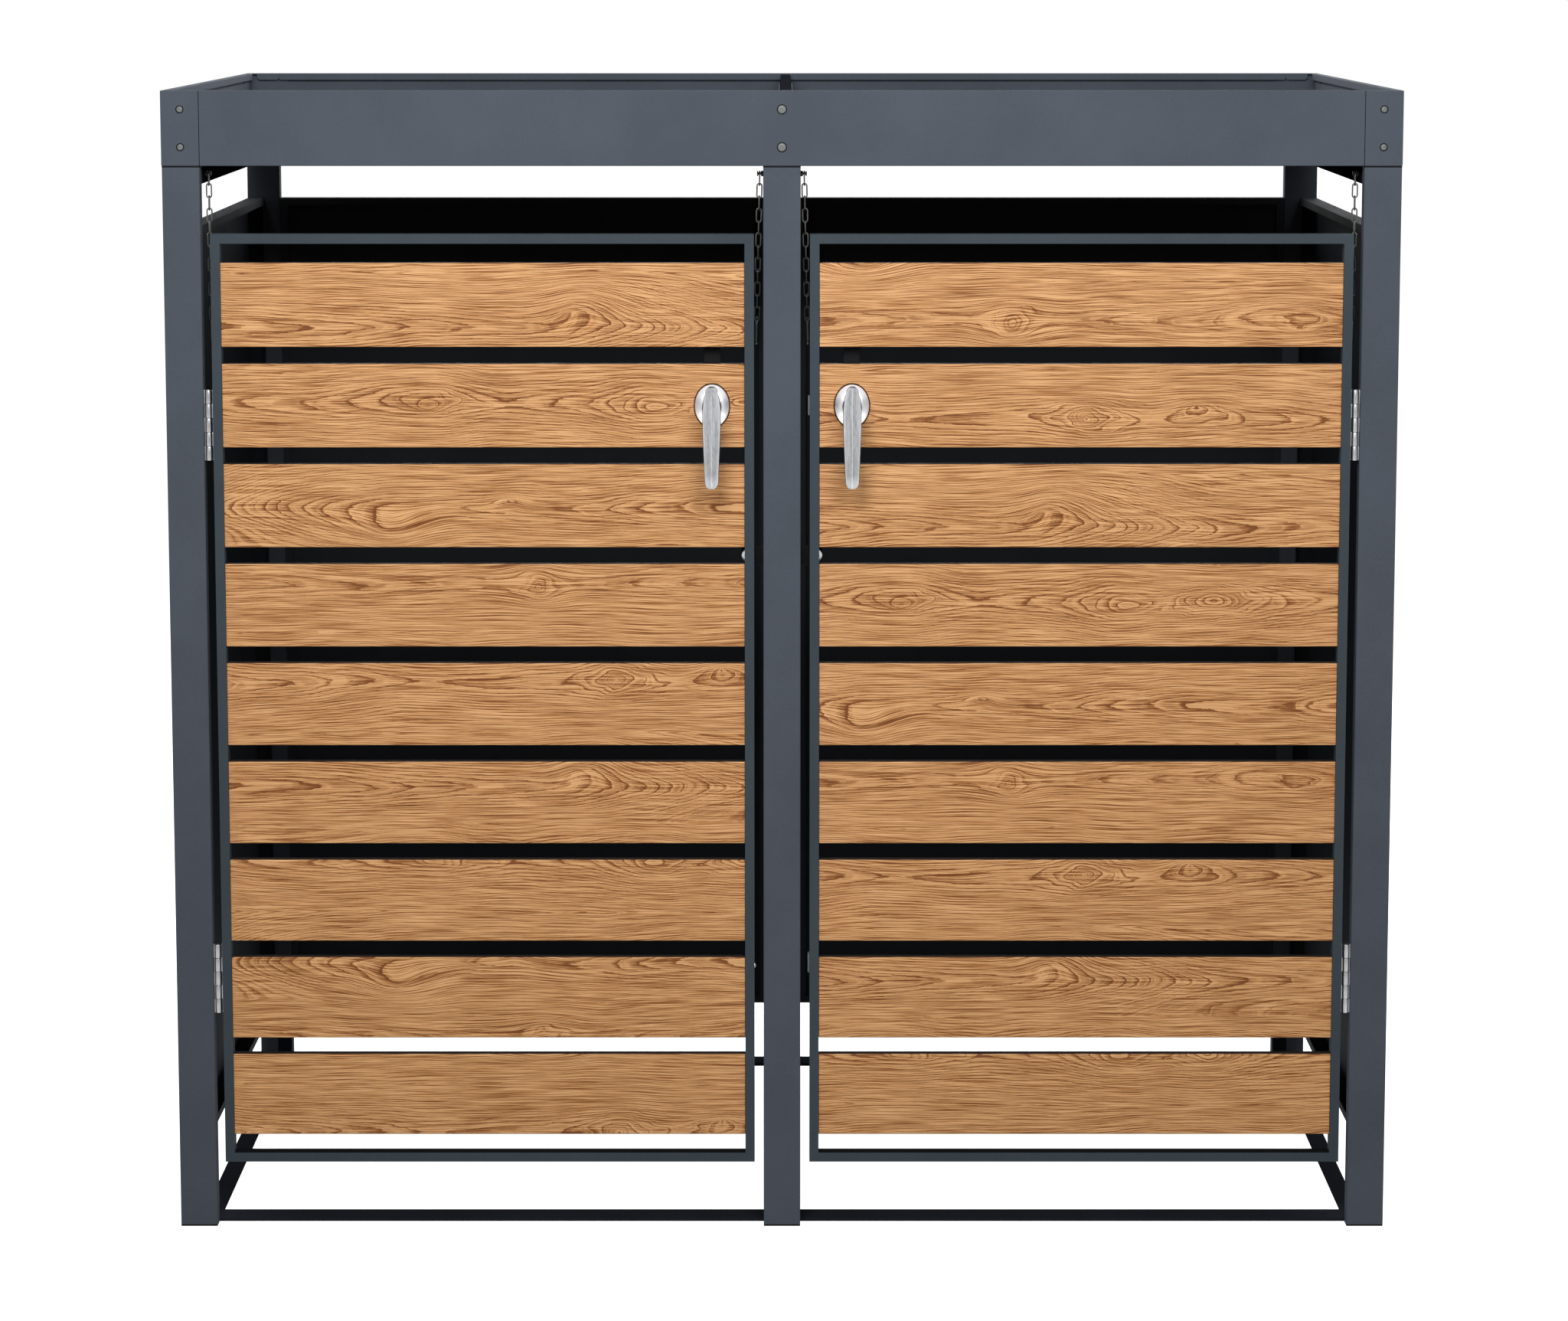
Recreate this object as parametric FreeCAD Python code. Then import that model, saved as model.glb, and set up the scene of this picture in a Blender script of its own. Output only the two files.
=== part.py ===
import FreeCAD, Part
import math
import os

# A store for two wheelie bins: six box-section posts on flat base rails carry a folded roof frame
# with two planting trays. Cassette panels close the sides and the back, and two doors of wood-look
# slats open at the front on butt hinges. Each bay has two lid chains on hooks in the top rails.
#
# Millimetres. The origin is at the bottom centre of the whole object's box, +X to the right seen
# from the front, +Y to the back, +Z up. Depths are counted back from the front plane of the posts.

vec = FreeCAD.Vector

# Whole store
STORE_WIDTH = 1320.0
STORE_DEPTH = 800.0
STORE_HEIGHT = 1240.0

# Posts and their feet
POST_WIDTH = 40.0
POST_DEPTH = 20.0
POST_WALL = 1.5
POST_CORNER = 0.8
FOOT_THICKNESS = 2.0
FOOT_PLUG = 14.0
FOOT_PLUG_CLEARANCE = 0.2

# Base rails, flat on the ground, with tabs turned up behind the posts
BASE_THICKNESS = 3.0
BASE_CROSS_WIDTH = 38.0
BASE_SIDE_WIDTH = 20.0
BASE_TAB_HEIGHT = 30.0
BASE_TAB_MARGIN = 2.0
ANCHOR_HOLE = 6.0
ANCHOR_INSET = 20.0

# Rails under the roof, front to back
TOP_RAIL = 20.0
TOP_RAIL_WALL = 1.5

# Cassette panels at the sides and the back
PANEL_THICKNESS = 20.0
PANEL_SHEET = 1.0
PANEL_LIP = 9.0
PANEL_GAP_TOP = 72.5
PANEL_GAP_BOTTOM = 72.5

# Roof frame
ROOF_HEIGHT = 80.0
ROOF_PROUD = 0.4
ROOF_SHEET = 1.2
RIM_WIDTH = 8.0
RIM_DROP = 8.0
ROOF_SEAT = 30.0
CORNER_LEG = 40.0
CORNER_SEAM = 0.4
CORNER_LIP_RELIEF = 5.0
CORNER_LIP_CUT = 2.5
TONGUE_LENGTH = 30.0
TONGUE_LAP = 10.0
TONGUE_MARGIN = 6.0

# Centre bar and planting trays of the roof
BAR_WIDTH = 12.0
BAR_OFFSET = 4.0
BAR_SHEET = 1.2
BAR_BELOW_RIM = 1.5
BAR_SPACE = 0.1
BAR_EAR = 10.0
BAR_EAR_SHEET = 1.5
TRAY_SHEET = 1.0
TRAY_CLEARANCE = 1.0
TRAY_BELOW_LIP = 3.0

# Small round pieces that repeat are many-sided
SMALL_ROUND_SIDES = 12

# Roof screws and the larger bolts of the centre bar
SCREW_HEAD = 6.8
SCREW_HEAD_HEIGHT = 1.6
SCREW_CHAMFER = 0.6
BOLT_HEAD = 9.0
SCREW_FROM_EDGE = 20.0

# Doors
DOOR_GAP = 10.0
DOOR_GAP_TOP = 72.5
DOOR_GAP_BOTTOM = 72.5
DOOR_BAR = 10.0
DOOR_DEPTH = 18.0
DOOR_WALL = 1.2

# Slats
SLAT_HEIGHT = 90.0
SLAT_GAP = 18.0
SLAT_LEAST_MARGIN = 18.0
SLAT_DEPTH = 13.5
SLAT_RECESS = 2.0
SLAT_CORNER = 1.2

# Hinges
HINGE_HEIGHT = 76.0
HINGE_KNUCKLES = 5
HINGE_KNUCKLE = 7.2
HINGE_PIN = 3.0
HINGE_PIN_CLEARANCE = 0.05
HINGE_AXIS_DEPTH = 4.0
HINGE_LEAF = 13.0
HINGE_INSET = 204.5
HINGE_SPACE = 0.3
HINGE_NOTCH = 2.2

# Handles, seen from the front with the lever hanging down
HANDLE_SLAT = 2
HANDLE_FROM_POST = 55.0
ROSETTE_WIDTH = 37.4
ROSETTE_HEIGHT = 46.5
ROSETTE_THICKNESS = 7.0
ROSETTE_FACE_SHARE = 0.76
ROSETTE_SIDES = 36
LEVER_TOP = 23.5
LEVER_TIP = 85.5
LEVER_WIDTH = 19.6
LEVER_TOP_WIDTH = 13.2
LEVER_TIP_WIDTH = 14.8
LEVER_THICKNESS = 8.0
LEVER_RIDGE = 2.0
LEVER_REACH = 42.0
LEVER_LEAN = 9.0
HUB = 20.8
HUB_SIDES = 24
SPINDLE = 8.0
SPINDLE_CLEARANCE = 0.05
SPINDLE_HOLE = 12.4
HUB_SPACE = 0.3
LATCH_REACH = 66.0
LATCH_WIDTH = 18.0
LATCH_THICKNESS = 3.0
LATCH_SPACE = 0.6
NUT_ACROSS = 13.0
NUT_THICKNESS = 5.0

# Stop strap behind the centre post with a pot magnet for each door
STOP_HEIGHT = 740.0
STOP_STRAP = 21.0
STOP_SHEET = 2.0
STOP_OVERLAP = 13.5
MAGNET = 15.2
MAGNET_CORE = 9.0
MAGNET_SPACE = 0.3

# Buffer plates on the inner edge of the right door
BUFFER_HEIGHT = 20.7
BUFFER_DEPTH = 12.0
BUFFER_THICKNESS = 2.0
BUFFER_LOWER = 294.0

# Lid chains and their hooks
CHAIN_DEPTH = 48.0
CHAIN_OUT = 3.9
CHAIN_LEAN_OUTER = 0.3
CHAIN_LEAN_INNER = 1.2
LINK_COUNT = 12
LINK_PITCH = 13.2
LINK_WIDTH = 6.8
LINK_WIRE = 1.8
LINK_SPACE = 0.3
LINK_SIDES = 4
HOOK_SHANK = 2.6
HOOK_HEAD = 6.0
HOOK_HEAD_THICKNESS = 1.2
HOOK_END_SPACE = 2.4
RING_LENGTH = 30.0
RING_WIDTH = 14.0
RING_WIRE = 2.6

# Places worked out from the sizes
half_width = STORE_WIDTH / 2
front_y = -(LEVER_REACH + STORE_DEPTH + ROOF_PROUD + SCREW_HEAD_HEIGHT) / 2 + LEVER_REACH
post_in = half_width - POST_WIDTH
centre_in = POST_WIDTH / 2
rear = STORE_DEPTH
rear_in = STORE_DEPTH - POST_DEPTH
roof_bottom = STORE_HEIGHT - ROOF_HEIGHT
rail_bottom = roof_bottom - TOP_RAIL
panel_bottom = PANEL_GAP_BOTTOM
panel_top = roof_bottom - PANEL_GAP_TOP
door_bottom = DOOR_GAP_BOTTOM
door_top = roof_bottom - DOOR_GAP_TOP
door_in = centre_in + DOOR_GAP
door_out = post_in - DOOR_GAP
slat_room = door_top - door_bottom - 2 * DOOR_BAR
slat_pitch = SLAT_HEIGHT + SLAT_GAP
slat_count = int((slat_room - 2 * SLAT_LEAST_MARGIN + SLAT_GAP) / slat_pitch)
slat_first = door_top - DOOR_BAR - (slat_room - slat_count * slat_pitch + SLAT_GAP) / 2
handle_x = centre_in + HANDLE_FROM_POST
handle_z = slat_first - (HANDLE_SLAT - 1) * slat_pitch - SLAT_HEIGHT / 2
hinge_x = post_in - DOOR_GAP / 2
knuckle_radius = HINGE_KNUCKLE / 2
seat_top = roof_bottom + ROOF_SHEET
tray_top = STORE_HEIGHT - RIM_DROP - TRAY_BELOW_LIP
chain_z = rail_bottom + TOP_RAIL / 2


def place(axis, along, u, v):
    """A point of a section: (u, v) is (depth, Z), (X, Z) or (X, depth) as the axis is x, y or z."""
    if axis == "x":
        return vec(along, front_y + u, v)
    if axis == "y":
        return vec(u, front_y + along, v)
    return vec(u, front_y + v, along)


def rounded_wire(axis, along, points, radii):
    """A closed outline whose corners are rounded, each by its own radius, or left sharp at zero."""
    edges = []
    count = len(points)
    ends = []
    for i in range(count):
        corner = vec(points[i][0], points[i][1], 0)
        before = (vec(points[i - 1][0], points[i - 1][1], 0) - corner).normalize()
        after = (vec(points[(i + 1) % count][0], points[(i + 1) % count][1], 0) - corner).normalize()
        if radii[i] == 0:
            ends.append((corner, corner, corner))
            continue
        half = before.getAngle(after) / 2
        middle = (before + after).normalize()
        centre = corner + middle * (radii[i] / math.sin(half))
        cut = radii[i] / math.tan(half)
        ends.append((corner + before * cut, centre - middle * radii[i], corner + after * cut))
    for i in range(count):
        start, top, end = (place(axis, along, p.x, p.y) for p in ends[i])
        following = ends[(i + 1) % count][0]
        following = place(axis, along, following.x, following.y)
        if radii[i] > 0:
            edges.append(Part.Arc(start, top, end).toShape())
        if end.distanceToPoint(following) > 1e-6:
            edges.append(Part.LineSegment(end, following).toShape())
    return Part.Wire(edges)


def prism(axis, start, end, points, radii=None):
    """The solid of a rounded outline carried along an axis from start to end."""
    wire = rounded_wire(axis, start, points, radii or [0] * len(points))
    direction = {"x": vec(1, 0, 0), "y": vec(0, 1, 0), "z": vec(0, 0, 1)}[axis]
    return Part.Face(wire).extrude(direction * (end - start))


def clipped(low, high, cut):
    """An upright rectangle with its four corners cut off."""
    (x0, y0), (x1, y1) = low, high
    return [(x0 + cut, y0), (x1 - cut, y0), (x1, y0 + cut), (x1, y1 - cut),
            (x1 - cut, y1), (x0 + cut, y1), (x0, y1 - cut), (x0, y0 + cut)]


def box(x, depth, z):
    """A block between two values of X, of depth and of Z."""
    size = (x[1] - x[0], depth[1] - depth[0], z[1] - z[0])
    return Part.makeBox(*size, vec(x[0], front_y + depth[0], z[0]))


def rectangle(low, high):
    """The four corners of an upright rectangle."""
    return [(low[0], low[1]), (high[0], low[1]), (high[0], high[1]), (low[0], high[1])]


def cylinder(axis, radius, u, v, start, end):
    """A round bar along an axis, centred at (u, v) of that axis's section."""
    direction = {"x": vec(1, 0, 0), "y": vec(0, 1, 0), "z": vec(0, 0, 1)}[axis]
    return Part.makeCylinder(radius, end - start, place(axis, start, u, v), direction)


def many_sided(radius, u, v, sides=SMALL_ROUND_SIDES):
    """The corners of a regular outline for a small round piece."""
    points = []
    for i in range(sides):
        angle = 2 * math.pi * (i + 0.5) / sides
        points.append((u + radius * math.cos(angle), v + radius * math.sin(angle)))
    return points


def small_bar(axis, radius, u, v, start, end):
    """A small many-sided bar along an axis, centred at (u, v) of that axis's section."""
    return prism(axis, start, end, many_sided(radius, u, v))


def small_bore(axis, radius, u, v, start, end):
    """A small many-sided bore whose flats are all at least the radius from its centre."""
    return small_bar(axis, radius / math.cos(math.pi / SMALL_ROUND_SIDES), u, v, start, end)


def frustum(one, two):
    """The solid between two flat outlines of the same number of corners, with flat sides."""
    faces = [Part.Face(Part.makePolygon(ring + ring[:1])) for ring in (one, two)]
    for i in range(len(one)):
        n = (i + 1) % len(one)
        faces.append(Part.Face(Part.makePolygon([one[i], one[n], two[n], two[i], one[i]])))
    solid = Part.makeSolid(Part.makeShell(faces))
    if solid.Volume < 0:
        solid.reverse()
    return solid


def box_section(axis, low, high, wall, corner, start, end):
    """An open-ended box tube, its outer corners cut off by a given amount."""
    outer = prism(axis, start, end, clipped(low, high, corner) if corner else rectangle(low, high))
    inner = prism(axis, start, end, rectangle([c + wall for c in low], [c - wall for c in high]))
    return outer.cut(inner)


def folded_sheet(axis, start, end, points, sheet):
    """A strip folded along an open line, its thickness to the line's left and its bends rounded."""
    turned = []
    outer, inner = [0], [0]
    lines = []
    for first, second in zip(points, points[1:]):
        run = vec(second[0] - first[0], second[1] - first[1], 0).normalize()
        shift = vec(-run.y, run.x, 0) * sheet
        lines.append((vec(first[0], first[1], 0) + shift, run, vec(second[0], second[1], 0) + shift))
    turned.append(lines[0][0])
    for one, two in zip(lines, lines[1:]):
        cross = one[1].x * two[1].y - one[1].y * two[1].x
        gap = two[0] - one[0]
        reach = (gap.x * two[1].y - gap.y * two[1].x) / cross
        turned.append(one[0] + one[1] * reach)
        outer.append(sheet if cross > 0 else 0)
        inner.append(0 if cross > 0 else sheet)
    turned.append(lines[-1][2])
    outline = list(points) + [(p.x, p.y) for p in reversed(turned)]
    return prism(axis, start, end, outline, outer + [0] + [0] + inner[::-1])


def flipped(shape):
    """The shape's mirror image on the other side of the store."""
    return shape.mirror(vec(0, 0, 0), vec(1, 0, 0))


def back_to_front(shape):
    """The shape turned half round a vertical axis through the middle of the roof frame's plan."""
    centre = vec(0, front_y + STORE_DEPTH / 2, 0)
    turned = shape.copy()
    turned.rotate(centre, vec(0, 0, 1), 180)
    return turned


def export(name, *solids):
    """Writes one node's solids to its STEP file."""
    shape = solids[0] if len(solids) == 1 else Part.makeCompound(list(solids))
    shape.exportStep(os.path.join("parts", name + ".step"))


def post(x, depth):
    """A post with its open foot just above its end cap."""
    low = (x - POST_WIDTH / 2, depth)
    high = (x + POST_WIDTH / 2, depth + POST_DEPTH)
    return box_section("z", low, high, POST_WALL, POST_CORNER, FOOT_THICKNESS, roof_bottom)


def foot(x, depth):
    """The end cap under a post, with a plug that fits the tube."""
    low = (x - POST_WIDTH / 2, depth)
    high = (x + POST_WIDTH / 2, depth + POST_DEPTH)
    cap = prism("z", 0, FOOT_THICKNESS, clipped(low, high, POST_CORNER))
    inset = POST_WALL + FOOT_PLUG_CLEARANCE
    plug = rectangle([c + inset for c in low], [c - inset for c in high])
    return cap.fuse(prism("z", FOOT_THICKNESS, FOOT_THICKNESS + FOOT_PLUG, plug)).removeSplitter()


def make_posts():
    """Three posts along the front, three along the back, and their feet."""
    places = {"left": -half_width + POST_WIDTH / 2, "centre": 0.0, "right": half_width - POST_WIDTH / 2}
    feet = []
    for row, depth in (("front", 0.0), ("rear", rear_in)):
        for side, x in places.items():
            export(f"{row}_post_{side}", post(x, depth))
            feet.append(foot(x, depth))
    export("post_feet", *feet)


def base_cross_rail():
    """The flat rail behind the front posts with its anchor holes, and the three tabs on it."""
    end = post_in + BASE_SIDE_WIDTH
    back = POST_DEPTH + BASE_CROSS_WIDTH
    rail = box((-end, end), (POST_DEPTH, back), (0, BASE_THICKNESS))
    for side in (-1, 1):
        x = side * (post_in - ANCHOR_INSET)
        depth = POST_DEPTH + BASE_CROSS_WIDTH / 2
        rail = rail.cut(cylinder("z", ANCHOR_HOLE / 2, x, depth, 0, BASE_THICKNESS))
    outer = post_in + BASE_SIDE_WIDTH / 2
    half = BASE_SIDE_WIDTH / 2 - BASE_TAB_MARGIN
    tabs = [base_tab(-outer, half), base_tab(0, centre_in - BASE_TAB_MARGIN), base_tab(outer, half)]
    return [rail] + tabs


def base_tab(x, half):
    """A tab welded on a base rail against the inner face of a post."""
    height = (BASE_THICKNESS, BASE_THICKNESS + BASE_TAB_HEIGHT)
    return box((x - half, x + half), (POST_DEPTH, POST_DEPTH + BASE_THICKNESS), height)


def make_rails():
    """Base rails on the ground and box-section rails under the roof."""
    cross = base_cross_rail()
    export("base_rails_cross", *cross, *(back_to_front(piece) for piece in cross))
    inner = POST_DEPTH + BASE_CROSS_WIDTH
    side = box((post_in, post_in + BASE_SIDE_WIDTH), (inner, rear - inner), (0, BASE_THICKNESS))
    export("base_rails_side", side, flipped(side))

    low, high = (post_in, rail_bottom), (post_in + TOP_RAIL, roof_bottom)
    rail = box_section("y", low, high, TOP_RAIL_WALL, POST_CORNER, POST_DEPTH, rear_in)
    export("top_rails_side", rail, flipped(rail))
    low, high = (-centre_in, rail_bottom), (centre_in, roof_bottom)
    rail = box_section("y", low, high, TOP_RAIL_WALL, POST_CORNER, POST_DEPTH, rear_in)
    export("top_rail_centre", rail)


def cassette(width, height):
    """A pan of sheet, skin down, with four walls and a lip turned in all round."""
    pan = Part.makeBox(width, height, PANEL_THICKNESS)
    skin_edges = [e for e in pan.Edges if e.BoundBox.ZMax < PANEL_SHEET]
    pan = pan.makeChamfer(PANEL_SHEET / 2, skin_edges)
    room = Part.makeBox(width - 2 * PANEL_SHEET, height - 2 * PANEL_SHEET,
                        PANEL_THICKNESS - 2 * PANEL_SHEET,
                        vec(PANEL_SHEET, PANEL_SHEET, PANEL_SHEET))
    mouth = Part.makeBox(width - 2 * PANEL_LIP, height - 2 * PANEL_LIP, PANEL_THICKNESS,
                         vec(PANEL_LIP, PANEL_LIP, PANEL_SHEET))
    return pan.cut(room).cut(mouth)


def make_panels():
    """Cassettes between the posts, their lips towards the bins."""
    height = panel_top - panel_bottom
    side = cassette(rear_in - POST_DEPTH, height)
    axes = (vec(0, -1, 0), vec(0, 0, 1), vec(-1, 0, 0))
    side.Placement = upright(axes, vec(half_width, front_y + rear_in, panel_bottom))
    export("side_panel_right", side)
    export("side_panel_left", flipped(side))

    back = cassette(post_in - centre_in, height)
    axes = (vec(1, 0, 0), vec(0, 0, 1), vec(0, -1, 0))
    back.Placement = upright(axes, vec(centre_in, front_y + rear, panel_bottom))
    export("back_panel_right", back)
    export("back_panel_left", flipped(back))


def upright(axes, origin):
    """The placement that takes X, Y and Z to three given directions and the origin to a point."""
    u, v, w = axes
    matrix = FreeCAD.Matrix(u.x, v.x, w.x, origin.x, u.y, v.y, w.y, origin.y, u.z, v.z, w.z, origin.z)
    return FreeCAD.Placement(matrix)


def roof_profile(face, inward):
    """The open line of a fascia: rim lip, rim, face and seat. `inward` is the sense off the face."""
    seat = (face + inward * ROOF_SEAT, roof_bottom)
    foot_point = (face, roof_bottom)
    head = (face, STORE_HEIGHT)
    rim = (face + inward * RIM_WIDTH, STORE_HEIGHT)
    drop = (face + inward * RIM_WIDTH, STORE_HEIGHT - RIM_DROP)
    points = [seat, foot_point, head, rim, drop]
    return points[::-1] if inward > 0 else points


def fascia(axis, face, inward, start, end):
    """A folded length of the roof frame."""
    return folded_sheet(axis, start, end, roof_profile(face, inward), ROOF_SHEET)


def tongue(axis, face, inward, seam, sense):
    """The plate behind a fascia's end that the corner piece is screwed to."""
    depths = sorted((face + inward * ROOF_SHEET, face + inward * 2 * ROOF_SHEET))
    run = sorted((seam - sense * TONGUE_LAP, seam + sense * TONGUE_LENGTH))
    low = (depths[0], roof_bottom + TONGUE_MARGIN)
    high = (depths[1], STORE_HEIGHT - TONGUE_MARGIN)
    return prism(axis, run[0], run[1], rectangle(low, high))


def screw_heights():
    """The two heights at which the roof's screws sit."""
    return (STORE_HEIGHT - ROOF_HEIGHT / 4, STORE_HEIGHT - 3 * ROOF_HEIGHT / 4)


def make_roof():
    """Four fascias, four corner pieces, the centre bar, the trays and all the roof's screws."""
    seam_x = half_width - CORNER_LEG - CORNER_SEAM / 2
    front_face = -ROOF_PROUD
    side_face = half_width + ROOF_PROUD
    seam_depth = CORNER_LEG + CORNER_SEAM / 2

    front = fascia("x", front_face, 1, -seam_x, seam_x)
    for sense in (-1, 1):
        front = front.fuse(tongue("x", front_face, 1, sense * seam_x, sense))
    front = front.removeSplitter()
    export("roof_fascia_front", front)
    export("roof_fascia_rear", back_to_front(front))

    side = fascia("y", side_face, -1, seam_depth, rear - seam_depth)
    for seam, sense in ((seam_depth, -1), (rear - seam_depth, 1)):
        side = side.fuse(tongue("y", side_face, -1, seam, sense))
    side = side.removeSplitter()
    export("roof_fascia_right", side)
    export("roof_fascia_left", flipped(side))

    corner = roof_corner()
    corners = [corner, flipped(corner)]
    export("roof_corners", *corners, *(back_to_front(c) for c in corners))
    export("roof_centre_bar", centre_bar())
    export("roof_tray_right", tray(BAR_OFFSET + BAR_WIDTH / 2, half_width))
    export("roof_tray_left", tray(-half_width, BAR_OFFSET - BAR_WIDTH / 2))
    make_roof_screws()


def roof_corner():
    """The front right corner piece: two mitred legs of the fascia's section, their lips cut short."""
    face_x, face_depth = half_width + ROOF_PROUD, -ROOF_PROUD
    front = fascia("x", face_depth, 1, half_width - CORNER_LEG, face_x)
    side = fascia("y", face_x, -1, face_depth, CORNER_LEG)
    far = CORNER_LEG + ROOF_PROUD
    corner = (face_x, face_depth)
    across = (face_x - 2 * far, face_depth + 2 * far)
    front = front.common(prism("z", 0, 2 * STORE_HEIGHT, [corner, across, (across[0], corner[1])]))
    side = side.common(prism("z", 0, 2 * STORE_HEIGHT, [corner, (corner[0], across[1]), across]))
    piece = front.fuse(side).removeSplitter()

    inner = RIM_WIDTH + CORNER_LIP_RELIEF
    relief = box((face_x - inner, face_x - 2 * ROOF_SHEET),
                 (face_depth + 2 * ROOF_SHEET, face_depth + inner),
                 (STORE_HEIGHT - RIM_DROP - 1, STORE_HEIGHT - ROOF_SHEET))
    piece = piece.cut(relief)
    tips = [e for e in piece.Edges if lip_tip(e)]
    return piece.makeChamfer(CORNER_LIP_CUT, tips)


def lip_tip(edge):
    """True for the short edges across the sheet at the lower corners of a corner piece's lips."""
    at_foot = abs(edge.BoundBox.Center.z - (STORE_HEIGHT - RIM_DROP)) < 0.01
    return at_foot and abs(edge.Length - ROOF_SHEET) < 0.01 and len(edge.Vertexes) == 2


def centre_bar():
    """An upturned channel between the trays, with an ear at each end for the centre bolts."""
    left, right = BAR_OFFSET - BAR_WIDTH / 2, BAR_OFFSET + BAR_WIDTH / 2
    top = STORE_HEIGHT - BAR_BELOW_RIM
    lip = RIM_WIDTH - ROOF_PROUD + BAR_SPACE
    points = [(right, seat_top), (right, top), (left, top), (left, seat_top)]
    channel = folded_sheet("y", lip, rear - lip, points, BAR_SHEET)
    head = STORE_HEIGHT - RIM_DROP - TRAY_BELOW_LIP
    inside = ROOF_SHEET - ROOF_PROUD
    for start, end in ((inside, lip), (rear - lip, rear - inside)):
        for x in (left, right - BAR_SHEET):
            channel = channel.fuse(box((x, x + BAR_SHEET), (start, end), (seat_top, head)))
    for start in (inside, rear - inside - BAR_EAR_SHEET):
        ear = box((left - BAR_EAR, right), (start, start + BAR_EAR_SHEET),
                  (roof_bottom + TONGUE_MARGIN, head))
        channel = channel.fuse(ear)
    return channel.removeSplitter()


def tray(left, right):
    """An open planting tray on the seats of the roof frame."""
    clear = 2 * ROOF_SHEET + TRAY_CLEARANCE
    x0 = left + (TRAY_CLEARANCE if abs(left) < half_width else clear)
    x1 = right - (TRAY_CLEARANCE if abs(right) < half_width else clear)
    depth = (clear, rear - clear)
    outer = box((x0, x1), depth, (seat_top, tray_top))
    inner = box((x0 + TRAY_SHEET, x1 - TRAY_SHEET),
                (depth[0] + TRAY_SHEET, depth[1] - TRAY_SHEET), (seat_top + TRAY_SHEET, tray_top))
    return outer.cut(inner)


def screw_head(axis, u, z, face, outward, diameter):
    """The head of a screw or bolt that is driven into a face of the roof frame."""
    rings = []
    for radius, height in ((diameter / 2, 0), (diameter / 2 - SCREW_CHAMFER, SCREW_HEAD_HEIGHT)):
        rings.append([place(axis, face + outward * height, *p) for p in many_sided(radius, u, z)])
    return frustum(*rings)


def make_roof_screws():
    """Two screws in the front and rear leg of each corner piece, two bolts at each end of the bar."""
    screws = []
    for z in screw_heights():
        at_front = screw_head("y", half_width - SCREW_FROM_EDGE, z, -ROOF_PROUD, -1, SCREW_HEAD)
        bolt = screw_head("y", 0, z, -ROOF_PROUD, -1, BOLT_HEAD)
        half = [at_front, flipped(at_front), bolt]
        screws += half + [back_to_front(s) for s in half]
    export("roof_screws", *screws)


def door_frame():
    """The right door's four mitred tubes."""
    low, high = (door_in, door_bottom), (door_out, door_top)
    depth = (0, DOOR_DEPTH)
    middle = ((low[0] + high[0]) / 2, (low[1] + high[1]) / 2)
    stile = box_section("z", (high[0] - DOOR_BAR, depth[0]), (high[0], depth[1]),
                        DOOR_WALL, 0, low[1], high[1])
    rail = box_section("x", (depth[0], high[1] - DOOR_BAR), (depth[1], high[1]),
                       DOOR_WALL, 0, low[0], high[0])
    bars = []
    slope = DOOR_BAR * 2
    for bar, corner in ((stile, "side"), (rail, "top")):
        points = mitre(low, high, slope, corner)
        kept = bar.common(prism("y", -1, DOOR_DEPTH + 1, points))
        bars.append(kept)
        turned = kept.copy()
        turned.rotate(vec(middle[0], 0, middle[1]), vec(0, 1, 0), 180)
        bars.append(turned)
    return bars


def mitre(low, high, slope, which):
    """The trapezium, in X and Z, that one bar of a mitred frame keeps."""
    if which == "side":
        return [(high[0], low[1]), (high[0], high[1]), (high[0] - slope, high[1] - slope),
                (high[0] - slope, low[1] + slope)]
    return [(low[0], high[1]), (low[0] + slope, high[1] - slope), (high[0] - slope, high[1] - slope),
            (high[0], high[1])]


def slat(top):
    """A slat of the right door: a solid board between the stiles."""
    low, high = (door_in + DOOR_BAR, top - SLAT_HEIGHT), (door_out - DOOR_BAR, top)
    return prism("y", SLAT_RECESS, SLAT_RECESS + SLAT_DEPTH, clipped(low, high, SLAT_CORNER))


def hinge_leaf(bottom, for_door):
    """One leaf of a right-hand hinge with its knuckles; the post's leaf also holds the pin."""
    knuckle = HINGE_HEIGHT / HINGE_KNUCKLES
    sheet = DOOR_GAP / 2 - knuckle_radius
    x = (door_out, door_out + sheet) if for_door else (post_in - sheet, post_in)
    root = (door_out, door_out + 2 * sheet) if for_door else (post_in - 2 * sheet, post_in)
    near = HINGE_AXIS_DEPTH + HINGE_NOTCH
    leaf = box(x, (near, HINGE_AXIS_DEPTH + HINGE_LEAF), (bottom, bottom + HINGE_HEIGHT))
    for i in range(1 if for_door else 0, HINGE_KNUCKLES, 2):
        z0 = bottom + i * knuckle + (HINGE_SPACE / 2 if i > 0 else 0)
        z1 = bottom + (i + 1) * knuckle - (HINGE_SPACE / 2 if i < HINGE_KNUCKLES - 1 else 0)
        roll = small_bar("z", knuckle_radius, hinge_x, HINGE_AXIS_DEPTH, z0, z1)
        leaf = leaf.fuse([roll, box(root, (HINGE_AXIS_DEPTH, near), (z0, z1))])
    shaft = (hinge_x, HINGE_AXIS_DEPTH, bottom, bottom + HINGE_HEIGHT)
    if for_door:
        bore = cylinder("z", HINGE_PIN / 2 + HINGE_PIN_CLEARANCE, *shaft)
        return leaf.cut(bore).removeSplitter()
    return leaf.fuse(cylinder("z", HINGE_PIN / 2, *shaft)).removeSplitter()


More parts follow.
